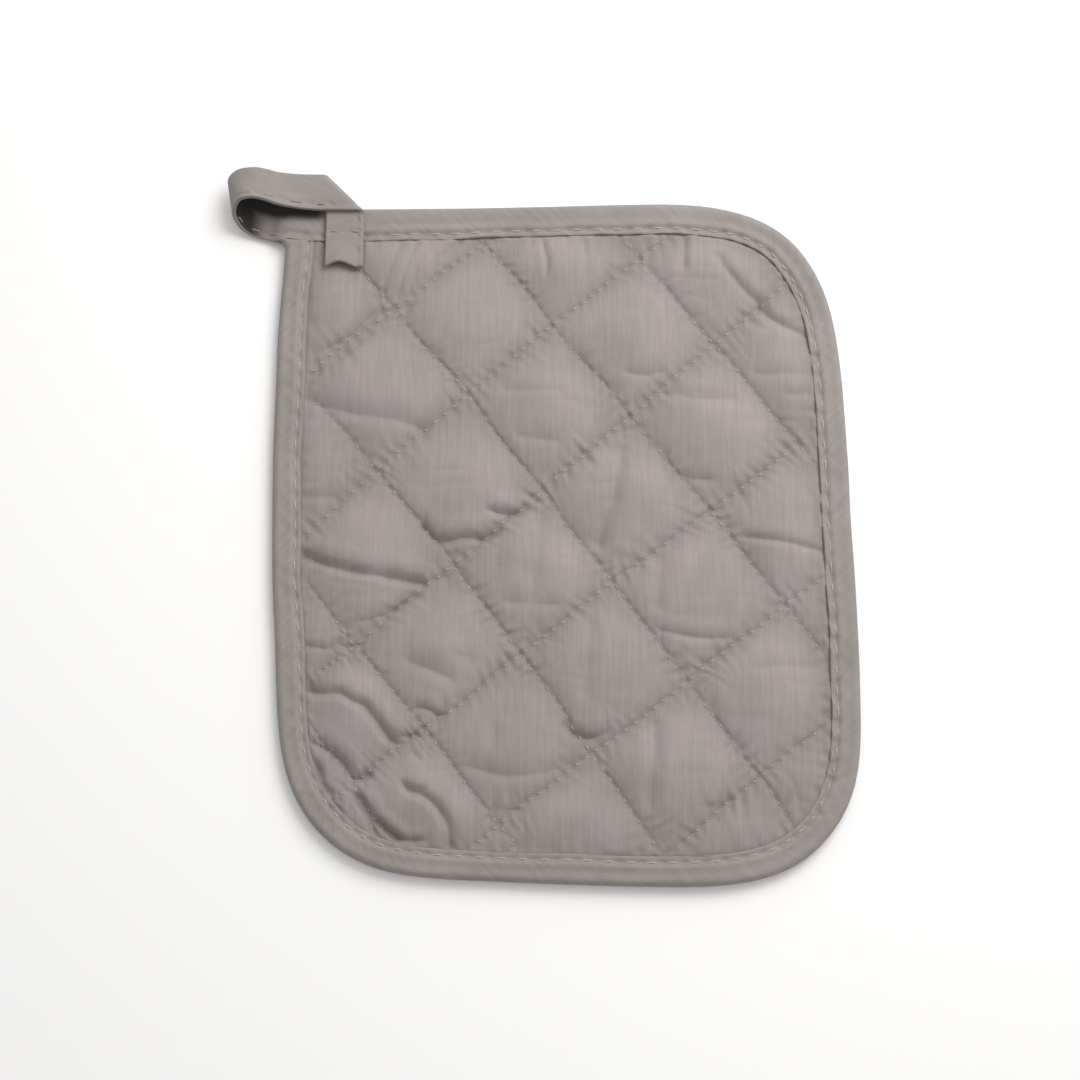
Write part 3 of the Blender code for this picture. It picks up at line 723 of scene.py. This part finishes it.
def woven_cotton(name, uv_map, turn, greyer, pinker, painted_shade_darkest):
    """Woven cloth: base colour, streaks, weave and bump, laid out on a UV map in metres, turned by turn.
    Where the loft attribute is low, its colour is painted darker as painted shade, down to the last argument.
    """
    material, shader = new_material(name)
    cloth = add_node(material, "ShaderNodeUVMap", uv_map=uv_map).outputs["UV"]
    threads = add_node(material, "ShaderNodeMapping", {
        "Vector": cloth, "Rotation": (0, 0, turn), "Scale": (1 / THREAD_PITCH, 1 / THREAD_PITCH, 1),
    }).outputs["Vector"]
    wobble = {"Vector": threads, "Scale": ONE_BAND, "Distortion": 0.5, "Detail": 1.0, "Detail Scale": 0.7}
    warp = add_node(material, "ShaderNodeTexWave", wobble, bands_direction="X").outputs["Fac"]
    weft = add_node(material, "ShaderNodeTexWave", wobble, bands_direction="Y").outputs["Fac"]
    over = add_node(material, "ShaderNodeTexChecker", {"Vector": threads, "Scale": 1.0}).outputs["Fac"]
    weave = add_node(material, "ShaderNodeMix", {"Factor": over, 2: warp, 3: weft}).outputs[0]

    streaks = add_node(material, "ShaderNodeMapping", {
        "Vector": cloth, "Rotation": (0, 0, turn), "Scale": (SLUB_WIDTH, SLUB_LENGTH, 1),
    }, vector_type="TEXTURE").outputs["Vector"]
    streak = {"Vector": streaks, "Scale": 1.0, "Detail": 2.0}
    slubs = add_node(material, "ShaderNodeTexNoise", streak).outputs["Fac"]
    patchy = {"Vector": cloth, "Scale": DYE_SCALE, "Detail": 3.0}
    dye = add_node(material, "ShaderNodeTexNoise", patchy).outputs["Fac"]
    dye_patch = add_node(material, "ShaderNodeMapRange", {
        "Value": dye, "From Min": 0.35, "From Max": 0.65,
    }).outputs["Result"]
    base = add_node(material, "ShaderNodeMix", {
        "Factor": dye_patch, 6: linear(greyer), 7: linear(pinker),
    }, data_type="RGBA").outputs[2]
    # Painted shade: the colour is painted darker where the loft attribute falls below FULL_LOFT
    shade_loft = add_node(material, "ShaderNodeAttribute", attribute_name="shade_loft").outputs["Fac"]
    painted_shade, by_streak, by_weave = (
        add_node(material, "ShaderNodeMapRange", {
            "Value": value, "From Min": start, "From Max": end, "To Min": darkest, "To Max": lightest,
        }).outputs["Result"]
        for value, start, end, darkest, lightest in (
            (shade_loft, 0, FULL_LOFT, painted_shade_darkest, 1), (slubs, 0.3, 0.7, 0.94, 1.06), (weave, 0, 1, 0.94, 1.03),
        )
    )
    shade = painted_shade
    for other in (by_streak, by_weave):
        shade = add_node(material, "ShaderNodeMath", {0: shade, 1: other}, operation="MULTIPLY").outputs[0]
    coloured = add_node(material, "ShaderNodeVectorMath", {0: base, "Scale": shade}, operation="SCALE")

    slub_bump = add_node(material, "ShaderNodeBump", {
        "Height": slubs, "Strength": 0.35, "Distance": 0.12 * MM,
    }).outputs["Normal"]
    bump = add_node(material, "ShaderNodeBump", {
        "Height": weave, "Strength": 0.4, "Distance": 0.07 * MM, "Normal": slub_bump,
    }).outputs["Normal"]
    fill_inputs(material, shader, {
        "Base Color": coloured.outputs[0], "Normal": bump, "Roughness": 0.92, "Specular IOR Level": 0.25,
        "Sheen Weight": 0.12, "Sheen Roughness": 0.45, "Sheen Tint": linear("#E9E1DC"),
    })
    return material


# Painted shade, with a little dust: the front is painted darker along the rows and beside the tape, to 86%
face_cotton = woven_cotton("plain_weave_cotton", "cloth", 0.0, "#968F89", "#9F9694", 0.86)

front, back = quilt_sheet(FRONT_STEPS, front_height), quilt_sheet(BACK_STEPS, back_height)
pad_points, pad_loft, pad_cloth = (np.concatenate([front[part], back[part]]) for part in (0, 2, 3))
pad_quads = np.concatenate([front[1], back[1][:, ::-1] + len(front[0])])
panel = mesh_piece("quilted_pad", pad_points, pad_quads, face_cotton, {"cloth": pad_cloth},
                   {"shade_loft": pad_loft})

# Inside the tape the two faces are pressed together and sewn shut all the way round
close_mesh(panel, bridge=True)
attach(panel, "root")
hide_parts("quilted_panel")


# ---- Quilting stitches ----
# Two-ply cotton thread, machine sewn right through the panel, ten stitches to a diamond's side, front and
# back. Each stitch lies in its row's groove and dives through the cloth at both ends.
THREAD_RADIUS = 0.27 * MM
STITCH_SHARE = 0.44
STITCH_SHARE_VARIES = 0.08
STITCH_DRIFT = 0.004
STITCH_SINK = 0.5 * MM
STITCH_RINGS = 7
STITCH_SIDES = 6
QUILT_STITCH_CLEAR = 1.6 * MM


def stitches(starts, ends, normals, radius, sink):
    """Thread from each start to each end: a tube whose middle line rises above the cloth as 0.45 radius -
    sink |2t - 1|^5, rounded off at the tips and flat where it meets the table. Gives points, quads and the
    thread's own UV."""
    t = np.linspace(0, 1, STITCH_RINGS)[None, :, None, None]
    turn = np.linspace(0, 2 * math.pi, STITCH_SIDES + 1)[None, None, :, None]
    along = ends - starts
    length = np.linalg.norm(along, axis=1)[:, None, None, None]
    along = along[:, None, None, :] / length
    up = normals[:, None, None, :]
    side = unit(np.cross(along, up))
    up = np.cross(side, along)
    bend = np.abs(2 * t - 1) ** 5
    middle = starts[:, None, None, :] + along * length * t + up * (0.45 * radius - sink * bend)
    round_off = np.sqrt(1 - 0.94 * np.abs(2 * t - 1) ** 8)
    points = middle + radius * round_off * (side * np.cos(turn) + up * np.sin(turn))
    points[..., 2] = np.maximum(points[..., 2], 0)
    count = len(starts)
    number = np.arange(count * STITCH_RINGS * (STITCH_SIDES + 1))
    number = number.reshape(count, STITCH_RINGS, STITCH_SIDES + 1)
    uv = np.stack(np.broadcast_arrays(length * t + 0 * turn, 0 * length * t + turn * radius), axis=-1)
    return points.reshape(-1, 3), grid_quads(number), uv.reshape(-1, 2)


def thread_piece(name, sewn, material):
    """Several runs of stitches as one mesh, with each tube's seam and tips closed."""
    offsets = np.cumsum([0] + [len(points) for points, _, _ in sewn])
    points = np.concatenate([run[0] for run in sewn])
    quads = np.concatenate([run[1] + offset for run, offset in zip(sewn, offsets)])
    uv = np.concatenate([run[2] for run in sewn])
    piece = mesh_piece(name, points, quads, material, {"thread": uv})
    close_mesh(piece, merge=True, fill=STITCH_SIDES, turn_out=False)
    return piece


def quilt_stitches(height, face, seed):
    """The stitches of all rows on one face, face being +1 on the front and -1 on the back."""
    random = np.random.default_rng(seed)
    whole = np.arange(1, CELLS)
    between = (np.arange(CELLS * STITCHES_A_CELL) + 0.5) / STITCHES_A_CELL
    row, middle = (x.ravel() for x in np.meshgrid(whole, between, indexing="ij"))
    longer = random.uniform(-STITCH_SHARE_VARIES, STITCH_SHARE_VARIES, row.shape)
    half = 0.5 * (STITCH_SHARE + longer) / STITCHES_A_CELL
    drift = random.uniform(-STITCH_DRIFT, STITCH_DRIFT, (2, *row.shape))
    found = []
    for down in (True, False):
        tips = []
        for tip, aside in ((middle - half, row + drift[0]), (middle + half, row + drift[1])):
            u, v = (aside, tip) if down else (tip, aside)
            places = quilt_place(u, v)
            gap, run, _ = from_edge(places)
            z = height(u, v, places, gap, run)
            clear = inside_tape(gap, run) > QUILT_STITCH_CLEAR
            tips.append((np.column_stack([places + BODY_AT, z]), clear))
        keep = tips[0][1] & tips[1][1]
        found.append((tips[0][0][keep], tips[1][0][keep]))
    starts, ends = (np.concatenate([pair[which] for pair in found]) for which in (0, 1))
    up = np.tile([0.0, 0.0, float(face)], (len(starts), 1))
    return stitches(starts, ends, up, THREAD_RADIUS, STITCH_SINK)


# Mercerised cotton thread: a little glossier and lighter than the cloth, with two plies twisted together
PLY_TWIST = 1.1 * MM


def sewing_thread(name, hex_colour):
    """Twisted thread: slanting bands across a UV map that runs along the thread, in metres."""
    material, shader = new_material(name)
    thread = add_node(material, "ShaderNodeUVMap", uv_map="thread").outputs["UV"]
    twist = {"Vector": thread, "Scale": ONE_BAND / PLY_TWIST, "Distortion": 0.3}
    plies = add_node(material, "ShaderNodeTexWave", twist, bands_direction="DIAGONAL").outputs["Fac"]
    bump = add_node(material, "ShaderNodeBump", {
        "Height": plies, "Strength": 0.6, "Distance": 0.08 * MM,
    }).outputs["Normal"]
    shade = add_node(material, "ShaderNodeMapRange", {
        "Value": plies, "To Min": 0.86, "To Max": 1.04,
    }).outputs["Result"]
    colour = add_node(material, "ShaderNodeVectorMath", {
        0: linear(hex_colour)[:3], "Scale": shade,
    }, operation="SCALE").outputs[0]
    fill_inputs(material, shader, {
        "Base Color": colour, "Normal": bump, "Roughness": 0.6, "Specular IOR Level": 0.4,
        "Sheen Weight": 0.1,
    })
    return material


quilting_thread = sewing_thread("cotton_thread", "#A69D99")
quilting = thread_piece("quilting_stitches", [
    quilt_stitches(front_height, 1, 51), quilt_stitches(back_height, -1, 52),
], quilting_thread)
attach(quilting, "root")


# ---- Bias tape: edge binding and hanging loop ----
# One length of double-fold cotton tape, cut on the bias. It is folded round the panel's pressed rim and sewn
# through. Past the square corner it is folded shut, rolls back on itself as the hanging loop, turns down over
# a diagonal fold and ends as a tab, caught in the top seam. Its two ends of the ring meet in a butt seam.
BOUND_THICKNESS = 5.3 * MM
BOUND_WALL = 1.1 * MM
BOUND_LIP = 0.5 * MM
GAPE_LIFT = 0.8 * MM
BOUND_ROLL = 2.3 * MM
BOUND_SLOT = 2.0 * MM
SHUT_WIDTH = 12.7 * MM
SHUT_THICKNESS = 1.5 * MM
SHUT_WALL = 0.72 * MM
SHUT_ROLL = 0.8 * MM
SHUT_SLOT = 0.7 * MM
SEAM_FROM_EDGE = 2.0 * MM
STATION = 0.75 * MM
BUTT_LAP = 0.35 * MM
FLARE = 3.2 * MM
FLARE_RUN = 4.2 * MM

# The loop's middle line, in millimetres, follows the solid's within about 2 mm: from the corner out, over the
# roll and back. Tilt raises the near edge, and lean turns the section in plan, in degrees.
ROOT_Y = (CORNER_PLACES[0, 1] - SIDE_WIDTHS[0] / 2) / MM
LOOP_SECTIONS = (
    # x, y, height, tilt, lean
    (-92.5, ROOT_Y, 2.65, 0, 0),
    (-94.75, ROOT_Y, 2.7, -1, 0),
    (-99.0, 107.5, 2.2, -4, 0),
    (-104.0, 108.8, 2.2, -5, 0),
    (-109.0, 111.0, 3.8, 2, 6),
    (-111.4, 114.6, 7.2, 4, 9),
    (-109.0, 117.4, 10.2, 15, 6),
    (-104.0, 118.0, 11.6, 17, 0),
    (-99.5, 117.3, 11.4, 16, 0),
    (-95.5, 116.3, 10.7, 13, 0),
    (-89.0, 115.8, 9.3, 7, 0),
    (-82.0, 115.8, 8.15, 0, 0),
)
ROOT_SLACK = 1.3 * MM
ROOT_SLACK_RUN = 8 * MM
STRAND_SLACK = 1.0 * MM
STRAND_FROM = 3 * MM
STRAND_TO = 24 * MM
STRAND_FADE = 6 * MM
LOOP_SAMPLES = 600
RUN_ON = 50 * MM
ROOT_LENGTH = 6.5 * MM
FOLD_RADIUS = 0.9 * MM
TAB_X = -73.3 * MM
TAB_END_Y = 90.6 * MM
TAB_LIFT = 1.0 * MM
TAB_WAVE = 0.5 * MM
TAB_CUT_WAVE = 0.8 * MM
TAB_WAVE_SHIFT = 0.12
TAB_PINCH = 0.5
TAB_PINCH_WIDTH = 0.9 * MM
SQUARE_SHARE = 0.68
SLANT_SPAN = 9 * MM
BINDING_EDGE_Y = CORNER_PLACES[0, 1] - SIDE_WIDTHS[0]

LOOP_LINE = smooth_curve(LOOP_SECTIONS, np.linspace(0, len(LOOP_SECTIONS) - 1, LOOP_SAMPLES))
LOOP_LINE[:, :3] *= MM
LOOP_RUN = run_along(LOOP_LINE[:, :3])
ROLL_TO = LOOP_RUN[-1]
LOOP_LINE = np.concatenate([LOOP_LINE, LOOP_LINE[-1:] + [[RUN_ON, 0, 0, 0, 0]]])
LOOP_RUN = np.append(LOOP_RUN, ROLL_TO + RUN_ON)
UPPER_RUN_X, UPPER_RUN_Y = LOOP_SECTIONS[-1][0] * MM, LOOP_SECTIONS[-1][1] * MM
FOLD_ADVANCE = math.pi * FOLD_RADIUS / math.sqrt(2)
CREASE_FROM = ROLL_TO + TAB_X - FOLD_ADVANCE - UPPER_RUN_X
CREASE_TO = CREASE_FROM + 2 * FOLD_ADVANCE
TAB_TO = CREASE_FROM + UPPER_RUN_Y + FOLD_ADVANCE - TAB_END_Y


def loop_middle(along, across):
    """The middle surface of the loop's tape: the middle line plus across times the section's direction,
    folded over the diagonal crease round a small cylinder, and lifted with a wave at the tab's end."""
    x, y, z, tilt, lean = (np.interp(along, LOOP_RUN, column) for column in LOOP_LINE.T)
    tilt, lean = np.radians(tilt), np.radians(lean)
    x = x - across * np.cos(tilt) * np.sin(lean)
    y = y + across * np.cos(tilt) * np.cos(lean)
    z = z - across * np.sin(tilt)
    past = (x + y - (TAB_X - FOLD_ADVANCE + UPPER_RUN_Y)) / math.sqrt(2)
    turn = np.clip(past / FOLD_RADIUS, 0, math.pi)
    beyond = np.maximum(past - math.pi * FOLD_RADIUS, 0)
    moved = (FOLD_RADIUS * np.sin(turn) - beyond - np.maximum(past, 0)) / math.sqrt(2)
    z = z - FOLD_RADIUS * (1 - np.cos(turn))
    rise = smoothstep((BINDING_EDGE_Y - y - moved) / (BINDING_EDGE_Y - TAB_END_Y))
    wave = np.cos(2 * math.pi * (across / SHUT_WIDTH - TAB_WAVE_SHIFT))
    on_tab = rise * (along > CREASE_TO)
    z = z + on_tab * (TAB_LIFT + TAB_WAVE * wave)
    return np.stack([x + moved, y + moved + on_tab * TAB_CUT_WAVE * wave, z], axis=-1)


# Points round the tape's section: each face from its open edge to the seam and on to the fold, the fold
# itself, and each side of the slot
NEAR_POINTS = 6
FAR_POINTS = 12
FACE_POINTS = NEAR_POINTS + FAR_POINTS
FOLD_POINTS = 9
INNER_POINTS = 8
SLOT_POINTS = 6
LIP_TAPER = 3.6 * MM
SEAM_POINT = NEAR_POINTS - 1
BACK_SEAM_POINT = FACE_POINTS + FOLD_POINTS + FACE_POINTS - 1 - SEAM_POINT


def tape_section(width, thick, wall, lip_wall, roll, slot):
    """The tape's closed section as arrays across (from the open edge to the fold) and up: front face, round
    outer fold, back face, back lip, and the same again inside with a rounded slot. The wall thins to lip_wall
    at the open edge."""
    half, lip = thick / 2, lip_wall / 2
    quarter = math.pi / 2
    open_edge, fold = -width / 2 + lip, width / 2 - roll
    seam = -width / 2 + SEAM_FROM_EDGE
    inner = width / 2 - slot
    inner_half = half - wall
    near, far = np.linspace(0, 1, NEAR_POINTS), np.linspace(0, 1, FAR_POINTS + 1)[1:]
    front = np.concatenate([open_edge + (seam - open_edge) * near, seam + (fold - seam) * far], axis=1)
    face = half - (wall - lip_wall) * (1 - smoothstep((front + width / 2) / LIP_TAPER))
    round_out = np.linspace(quarter, -quarter, FOLD_POINTS + 2)[1:-1]
    round_slot = np.linspace(-quarter, quarter, SLOT_POINTS)
    round_lip = round_slot[1:-1]
    lip_across = open_edge - lip * np.cos(round_lip)
    inside = open_edge + (inner - inner_half - open_edge) * np.linspace(0, 1, INNER_POINTS + 1)[:-1]
    across = np.concatenate([
        front, fold + roll * np.cos(round_out), front[:, ::-1], lip_across,
        inside, inner - inner_half * (1 - np.cos(round_slot)), inside[:, ::-1], lip_across,
    ], axis=1)
    inside_up = inner_half + 0 * inside
    up = np.concatenate([
        face, half * np.sin(round_out), -face[:, ::-1], -inner_half - lip + lip * np.sin(round_lip),
        -inside_up, inner_half * np.sin(round_slot), inside_up, inner_half + lip + lip * np.sin(round_lip),
    ], axis=1)
    faces = np.zeros(across.shape[1])
    faces[:FACE_POINTS] = 1
    faces[FACE_POINTS + FOLD_POINTS:2 * FACE_POINTS + FOLD_POINTS] = -1
    return across, up, faces


def tape_relief(run, across, width, bound):
    """How far the tape's face stands off its plain section: a groove at the seam, pressed in at the needle
    holes, a hollow past the panel's rim, a lifted lip, and ripples that the bias gives between stitches. Each
    is worked out in millimetres, as height, width and place across."""
    hole = (0.5 + 0.5 * np.cos(2 * math.pi * run / TAPE_STITCH_PITCH)) ** 4
    run, from_open = run / MM, (across + width / 2) / MM
    groove = -(0.14 + 0.26 * bound + 0.45 * hole) * hump(from_open, 0.75, SEAM_FROM_EDGE / MM)
    hollow = -0.32 * bound * hump(from_open, 1.3, 5.6) * (0.6 + 0.5 * soft_noise(run / 45, 0, 61))
    puff = 0.16 * bound * hump(from_open, 0.9, 3.6) * (1 - hole)
    slant = run - 0.8 * from_open
    ripple = 0.12 * soft_noise(slant / 2.6, from_open / 5, 62)
    ripple += 0.14 * soft_noise(slant / 11, from_open / 6, 63)
    lip = 0.18 * bound * soft_noise(run / 8, 3, 64) * hump(from_open, 1.2)
    return MM * (groove + hollow + puff + ripple * (0.35 + 0.65 * bound) + lip)


# Stations along the tape: the tab's end first, then the loop back to the corner, then round the body. Both
# ends are rounded off, so their stations stand closer.
END_STEPS = np.array([0.0, 0.03, 0.10, 0.22, 0.40])[:, None] * MM
END_ROUNDING = 0.6 * MM
LEFT_RUN = 100 * MM
WIDTH_VARIES = 0.35 * MM
WIDTH_SPAN = 14 * MM
WOBBLE = 0.22 * MM
WOBBLE_SPAN = 21 * MM
WOBBLE_FROM = 20 * MM
loop_run = np.linspace(TAB_TO, 0, int(TAB_TO / STATION) + 1)[1:-1, None]
loop_run = np.concatenate([TAB_TO - END_STEPS, loop_run])
loop_count = len(loop_run)
square_to = SQUARE_SHARE * ROLL_TO
slant_runs = [0, square_to, square_to + 4 * SLANT_SPAN / 3, CREASE_TO + FOLD_RADIUS, TAB_TO]
slant = np.interp(loop_run, slant_runs, [0, 0, 1, 1, 0])
bound_share = 1 - smoothstep(loop_run / ROOT_LENGTH)
left_side = EDGE_RUN > EDGE_RUN[-1] - LEFT_RUN
body_to = np.interp(BINDING_EDGE_Y + BUTT_LAP, EDGE_PLACES[left_side, 1], EDGE_RUN[left_side])
body_run = np.linspace(0, body_to, int(body_to / STATION) + 1)[:-1, None]
body_run = np.concatenate([body_run, body_to - END_STEPS[::-1]])
share = np.concatenate([bound_share, np.ones_like(body_run)])
tape_run = np.concatenate([TAB_TO - loop_run, TAB_TO + body_run])

flare = FLARE * (1 - np.sqrt(1 - np.clip((body_run - body_to + FLARE_RUN) / FLARE_RUN, 0, 1) ** 2))
body_width = np.interp(body_run, EDGE_RUN, EDGE_WIDTHS)
body_width = body_width + WIDTH_VARIES * soft_noise(body_run / WIDTH_SPAN, 0, 65) + flare
loop_width = SHUT_WIDTH + (SIDE_WIDTHS[0] - SHUT_WIDTH) * bound_share
width = np.concatenate([loop_width, body_width])


def open_up(shut, bound):
    """A size of the tape's section at each station, from folded shut to wrapped round the panel."""
    return shut + (bound - shut) * share


_, gape = lip_gape(tape_run - TAB_TO)
across, up, faces = tape_section(
    width, open_up(SHUT_THICKNESS, BOUND_THICKNESS), open_up(SHUT_WALL, BOUND_WALL),
    open_up(SHUT_WALL, BOUND_LIP + GAPE_LIFT * gape), open_up(SHUT_ROLL, BOUND_ROLL),
    open_up(SHUT_SLOT, BOUND_SLOT),
)
relief = tape_relief(tape_run, across, width, share)
up = up + np.where(faces > 0, relief, 0) + np.where(faces < 0, np.maximum(-relief, 0), 0)

# The cut ends of tab and ring close to a rounded edge: thickness as sqrt(1 - (1 - d / rounding)^2)
from_end = np.minimum(tape_run, tape_run[-1] - tape_run)
up *= np.sqrt(1 - (1 - np.clip(from_end / END_ROUNDING, 0, 1)) ** 2)

# The fold is looser at the loop's root and on the strand that leaves it, and tight again at the roll
to_corner = TAB_TO - tape_run
root_slack = ROOT_SLACK * (1 - smoothstep((-to_corner - ROOT_SLACK_RUN) / ROOT_SLACK_RUN))
strand = smoothstep((to_corner - STRAND_FROM) / STRAND_FADE)
slack = root_slack * (1 - strand) + STRAND_SLACK * within(to_corner, STRAND_FROM, STRAND_TO, STRAND_FADE)
across = across + slack * np.clip(0.5 + across / width, 0, 1)

# Where the top seam crosses the tab, it draws the tab thin
TAB_SEAM = TAB_TO + TAB_END_Y - (BINDING_EDGE_Y + SEAM_FROM_EDGE)


def loop_surface(along, across, up):
    """Places that stand up off the loop's middle surface, and the surface's direction there."""
    step = 0.05 * MM
    along_way = loop_middle(along + step, across) - loop_middle(along - step, across)
    across_way = loop_middle(along, across + step) - loop_middle(along, across - step)
    normal = unit(np.cross(across_way, along_way))
    return loop_middle(along, across) + normal * up[..., None], normal


# Places: on the loop's middle surface, and on the body's edge
loop_across = across[:loop_count]
along = loop_run - slant * loop_across
pinch = TAB_PINCH * hump(along, TAB_PINCH_WIDTH, TAB_SEAM)
loop_points, _ = loop_surface(along, loop_across, up[:loop_count] * (1 - pinch))

edge, inward = (read_columns(body_run, EDGE_RUN, table) for table in (EDGE_PLACES, EDGE_INWARD))
wobble = WOBBLE * soft_noise(body_run / WOBBLE_SPAN, 0, 66) * smoothstep(body_run / WOBBLE_FROM)
reach = body_width / 2 - across[loop_count:] - flare + wobble
body_points = np.concatenate([
    edge + inward * reach[..., None], (BOUND_THICKNESS / 2 + up[loop_count:])[..., None],
], axis=-1)
tape_grid = np.concatenate([loop_points, body_points])
tape_grid[..., 2] = np.maximum(tape_grid[..., 2], 0)
tape_grid[..., :2] += BODY_AT

rows, columns = tape_grid.shape[:2]
number = np.arange(rows * (columns + 1)).reshape(rows, columns + 1)
seam_closed = np.concatenate([tape_grid, tape_grid[:, :1]], axis=1)
tape_quads = grid_quads(number)
round_run = np.linalg.norm(np.diff(seam_closed, axis=1), axis=-1)
round_run = np.concatenate([np.zeros((rows, 1)), np.cumsum(round_run, axis=1)], axis=1)
tape_uv = np.stack([np.broadcast_to(tape_run, round_run.shape), round_run], axis=-1).reshape(-1, 2)

# Inside the loop the cloth is painted much darker, a painted shade deeper than this light alone gives there:
# in the roll and under the strand. From and to, as runs out from the corner, and how long the painted shade
# takes to rise and to fall
PAINTED_SHADE_ROLL = (7 * MM, ROLL_TO - 12 * MM, 7 * MM, 6 * MM)
PAINTED_SHADE_UNDER = (-15 * MM, 20 * MM, 6 * MM, 4 * MM)
FAR_SIDE_FROM = 0.4 * MM
FAR_SIDE_FADE = 2.6 * MM
PAINTED_SHADE_POINTS = FACE_POINTS + 4
far_side = smoothstep((across - FAR_SIDE_FROM) / FAR_SIDE_FADE)
painted_loop_shade = np.maximum(within(to_corner, *PAINTED_SHADE_ROLL), far_side * within(to_corner, *PAINTED_SHADE_UNDER))
painted_loop_shade = np.where((faces >= 0) & (np.arange(columns) < PAINTED_SHADE_POINTS), painted_loop_shade, 0)
painted_loop_shade = np.concatenate([painted_loop_shade, painted_loop_shade[:, :1]], axis=1)

# Plain-weave cotton cut on the bias, so its threads run slantwise, and pressed a little smoother by its folds
# Inside the loop the colour is painted down to 14% by the loft attribute: painted shade
bias_cotton = woven_cotton("bias_cut_cotton", "tape", math.pi / 4, "#918B85", "#99918D", 0.14)
tape = mesh_piece("bias_tape", seam_closed.reshape(-1, 3), tape_quads, bias_cotton, {"tape": tape_uv},
                  {"shade_loft": FULL_LOFT * (1 - painted_loop_shade.ravel())})
close_mesh(tape, merge=True)
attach(tape, "root")
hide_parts("edge_binding", "hanging_loop")


# ---- Tape stitches ----
# The same thread in long stitches, 6.8 mm apart, two millimetres from the tape's open edge. On the ring the
# seam goes through tape and panel, and on the loop it holds the tape shut. A short seam crosses the tab.
TAPE_THREAD_RADIUS = 0.30 * MM
TAPE_STITCH_SHARE = 0.48
TAPE_SHARE_VARIES = 0.06
TAB_SAMPLES = 60
TAPE_STITCH_SINK = 0.6 * MM
CLEAR_OF_TAB = 1 * MM
CLEAR_OF_FOLD = 4 * MM
CLEAR_OF_BUTT = 2 * MM
CLEAR_OF_ROOT = 6 * MM


def seam_stitches(line, normals, run, first, last, seed):
    """Stitches along a line of points on the tape, between two runs, at the pitch of the needle holes."""
    random = np.random.default_rng(seed)
    hole = np.arange(math.ceil(first / TAPE_STITCH_PITCH), math.floor(last / TAPE_STITCH_PITCH))
    middle = (hole + 0.5) * TAPE_STITCH_PITCH
    longer = random.uniform(-TAPE_SHARE_VARIES, TAPE_SHARE_VARIES, middle.shape)
    half = 0.5 * TAPE_STITCH_PITCH * (TAPE_STITCH_SHARE + longer)
    starts, ends = (read_columns(place, run, line) for place in (middle - half, middle + half))
    return stitches(starts, ends, read_columns(middle, run, normals), TAPE_THREAD_RADIUS, TAPE_STITCH_SINK)


surface_way = np.cross(np.gradient(tape_grid, axis=0), np.gradient(tape_grid, axis=1))
front_seam, back_seam = (
    (tape_grid[:, point], unit(surface_way[:, point])) for point in (SEAM_POINT, BACK_SEAM_POINT)
)
run_line = tape_run[:, 0]
tab_clear = TAB_TO + (TAB_X + SHUT_WIDTH / 2 - CORNER_PLACES[0, 0]) + CLEAR_OF_TAB
loop_clear = TAB_TO - CREASE_FROM + CLEAR_OF_FOLD
tab_across = np.linspace(-TAPE_STITCH_PITCH, TAPE_STITCH_PITCH, TAB_SAMPLES)
tab_top = np.full_like(tab_across, SHUT_THICKNESS / 2 * (1 - TAB_PINCH))
tab_line, tab_normals = loop_surface(np.full_like(tab_across, TAB_SEAM), tab_across, tab_top)
tab_line[:, :2] += BODY_AT
binding_sewing = thread_piece("binding_stitches", [
    seam_stitches(*front_seam, run_line, tab_clear, run_line[-1], 81),
    seam_stitches(*back_seam, run_line, TAB_TO + CLEAR_OF_BUTT, run_line[-1], 82),
], sewing_thread("binding_thread", "#B0A7A2"))
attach(binding_sewing, "root")
loop_sewing = thread_piece("loop_stitches", [
    seam_stitches(*front_seam, run_line, loop_clear, TAB_TO, 83),
    seam_stitches(*back_seam, run_line, loop_clear, TAB_TO - CLEAR_OF_ROOT, 84),
    seam_stitches(tab_line, tab_normals, tab_across + TAPE_STITCH_PITCH, 0, 2 * TAPE_STITCH_PITCH, 85),
], sewing_thread("loop_thread", "#989089"))
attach(loop_sewing, "root")
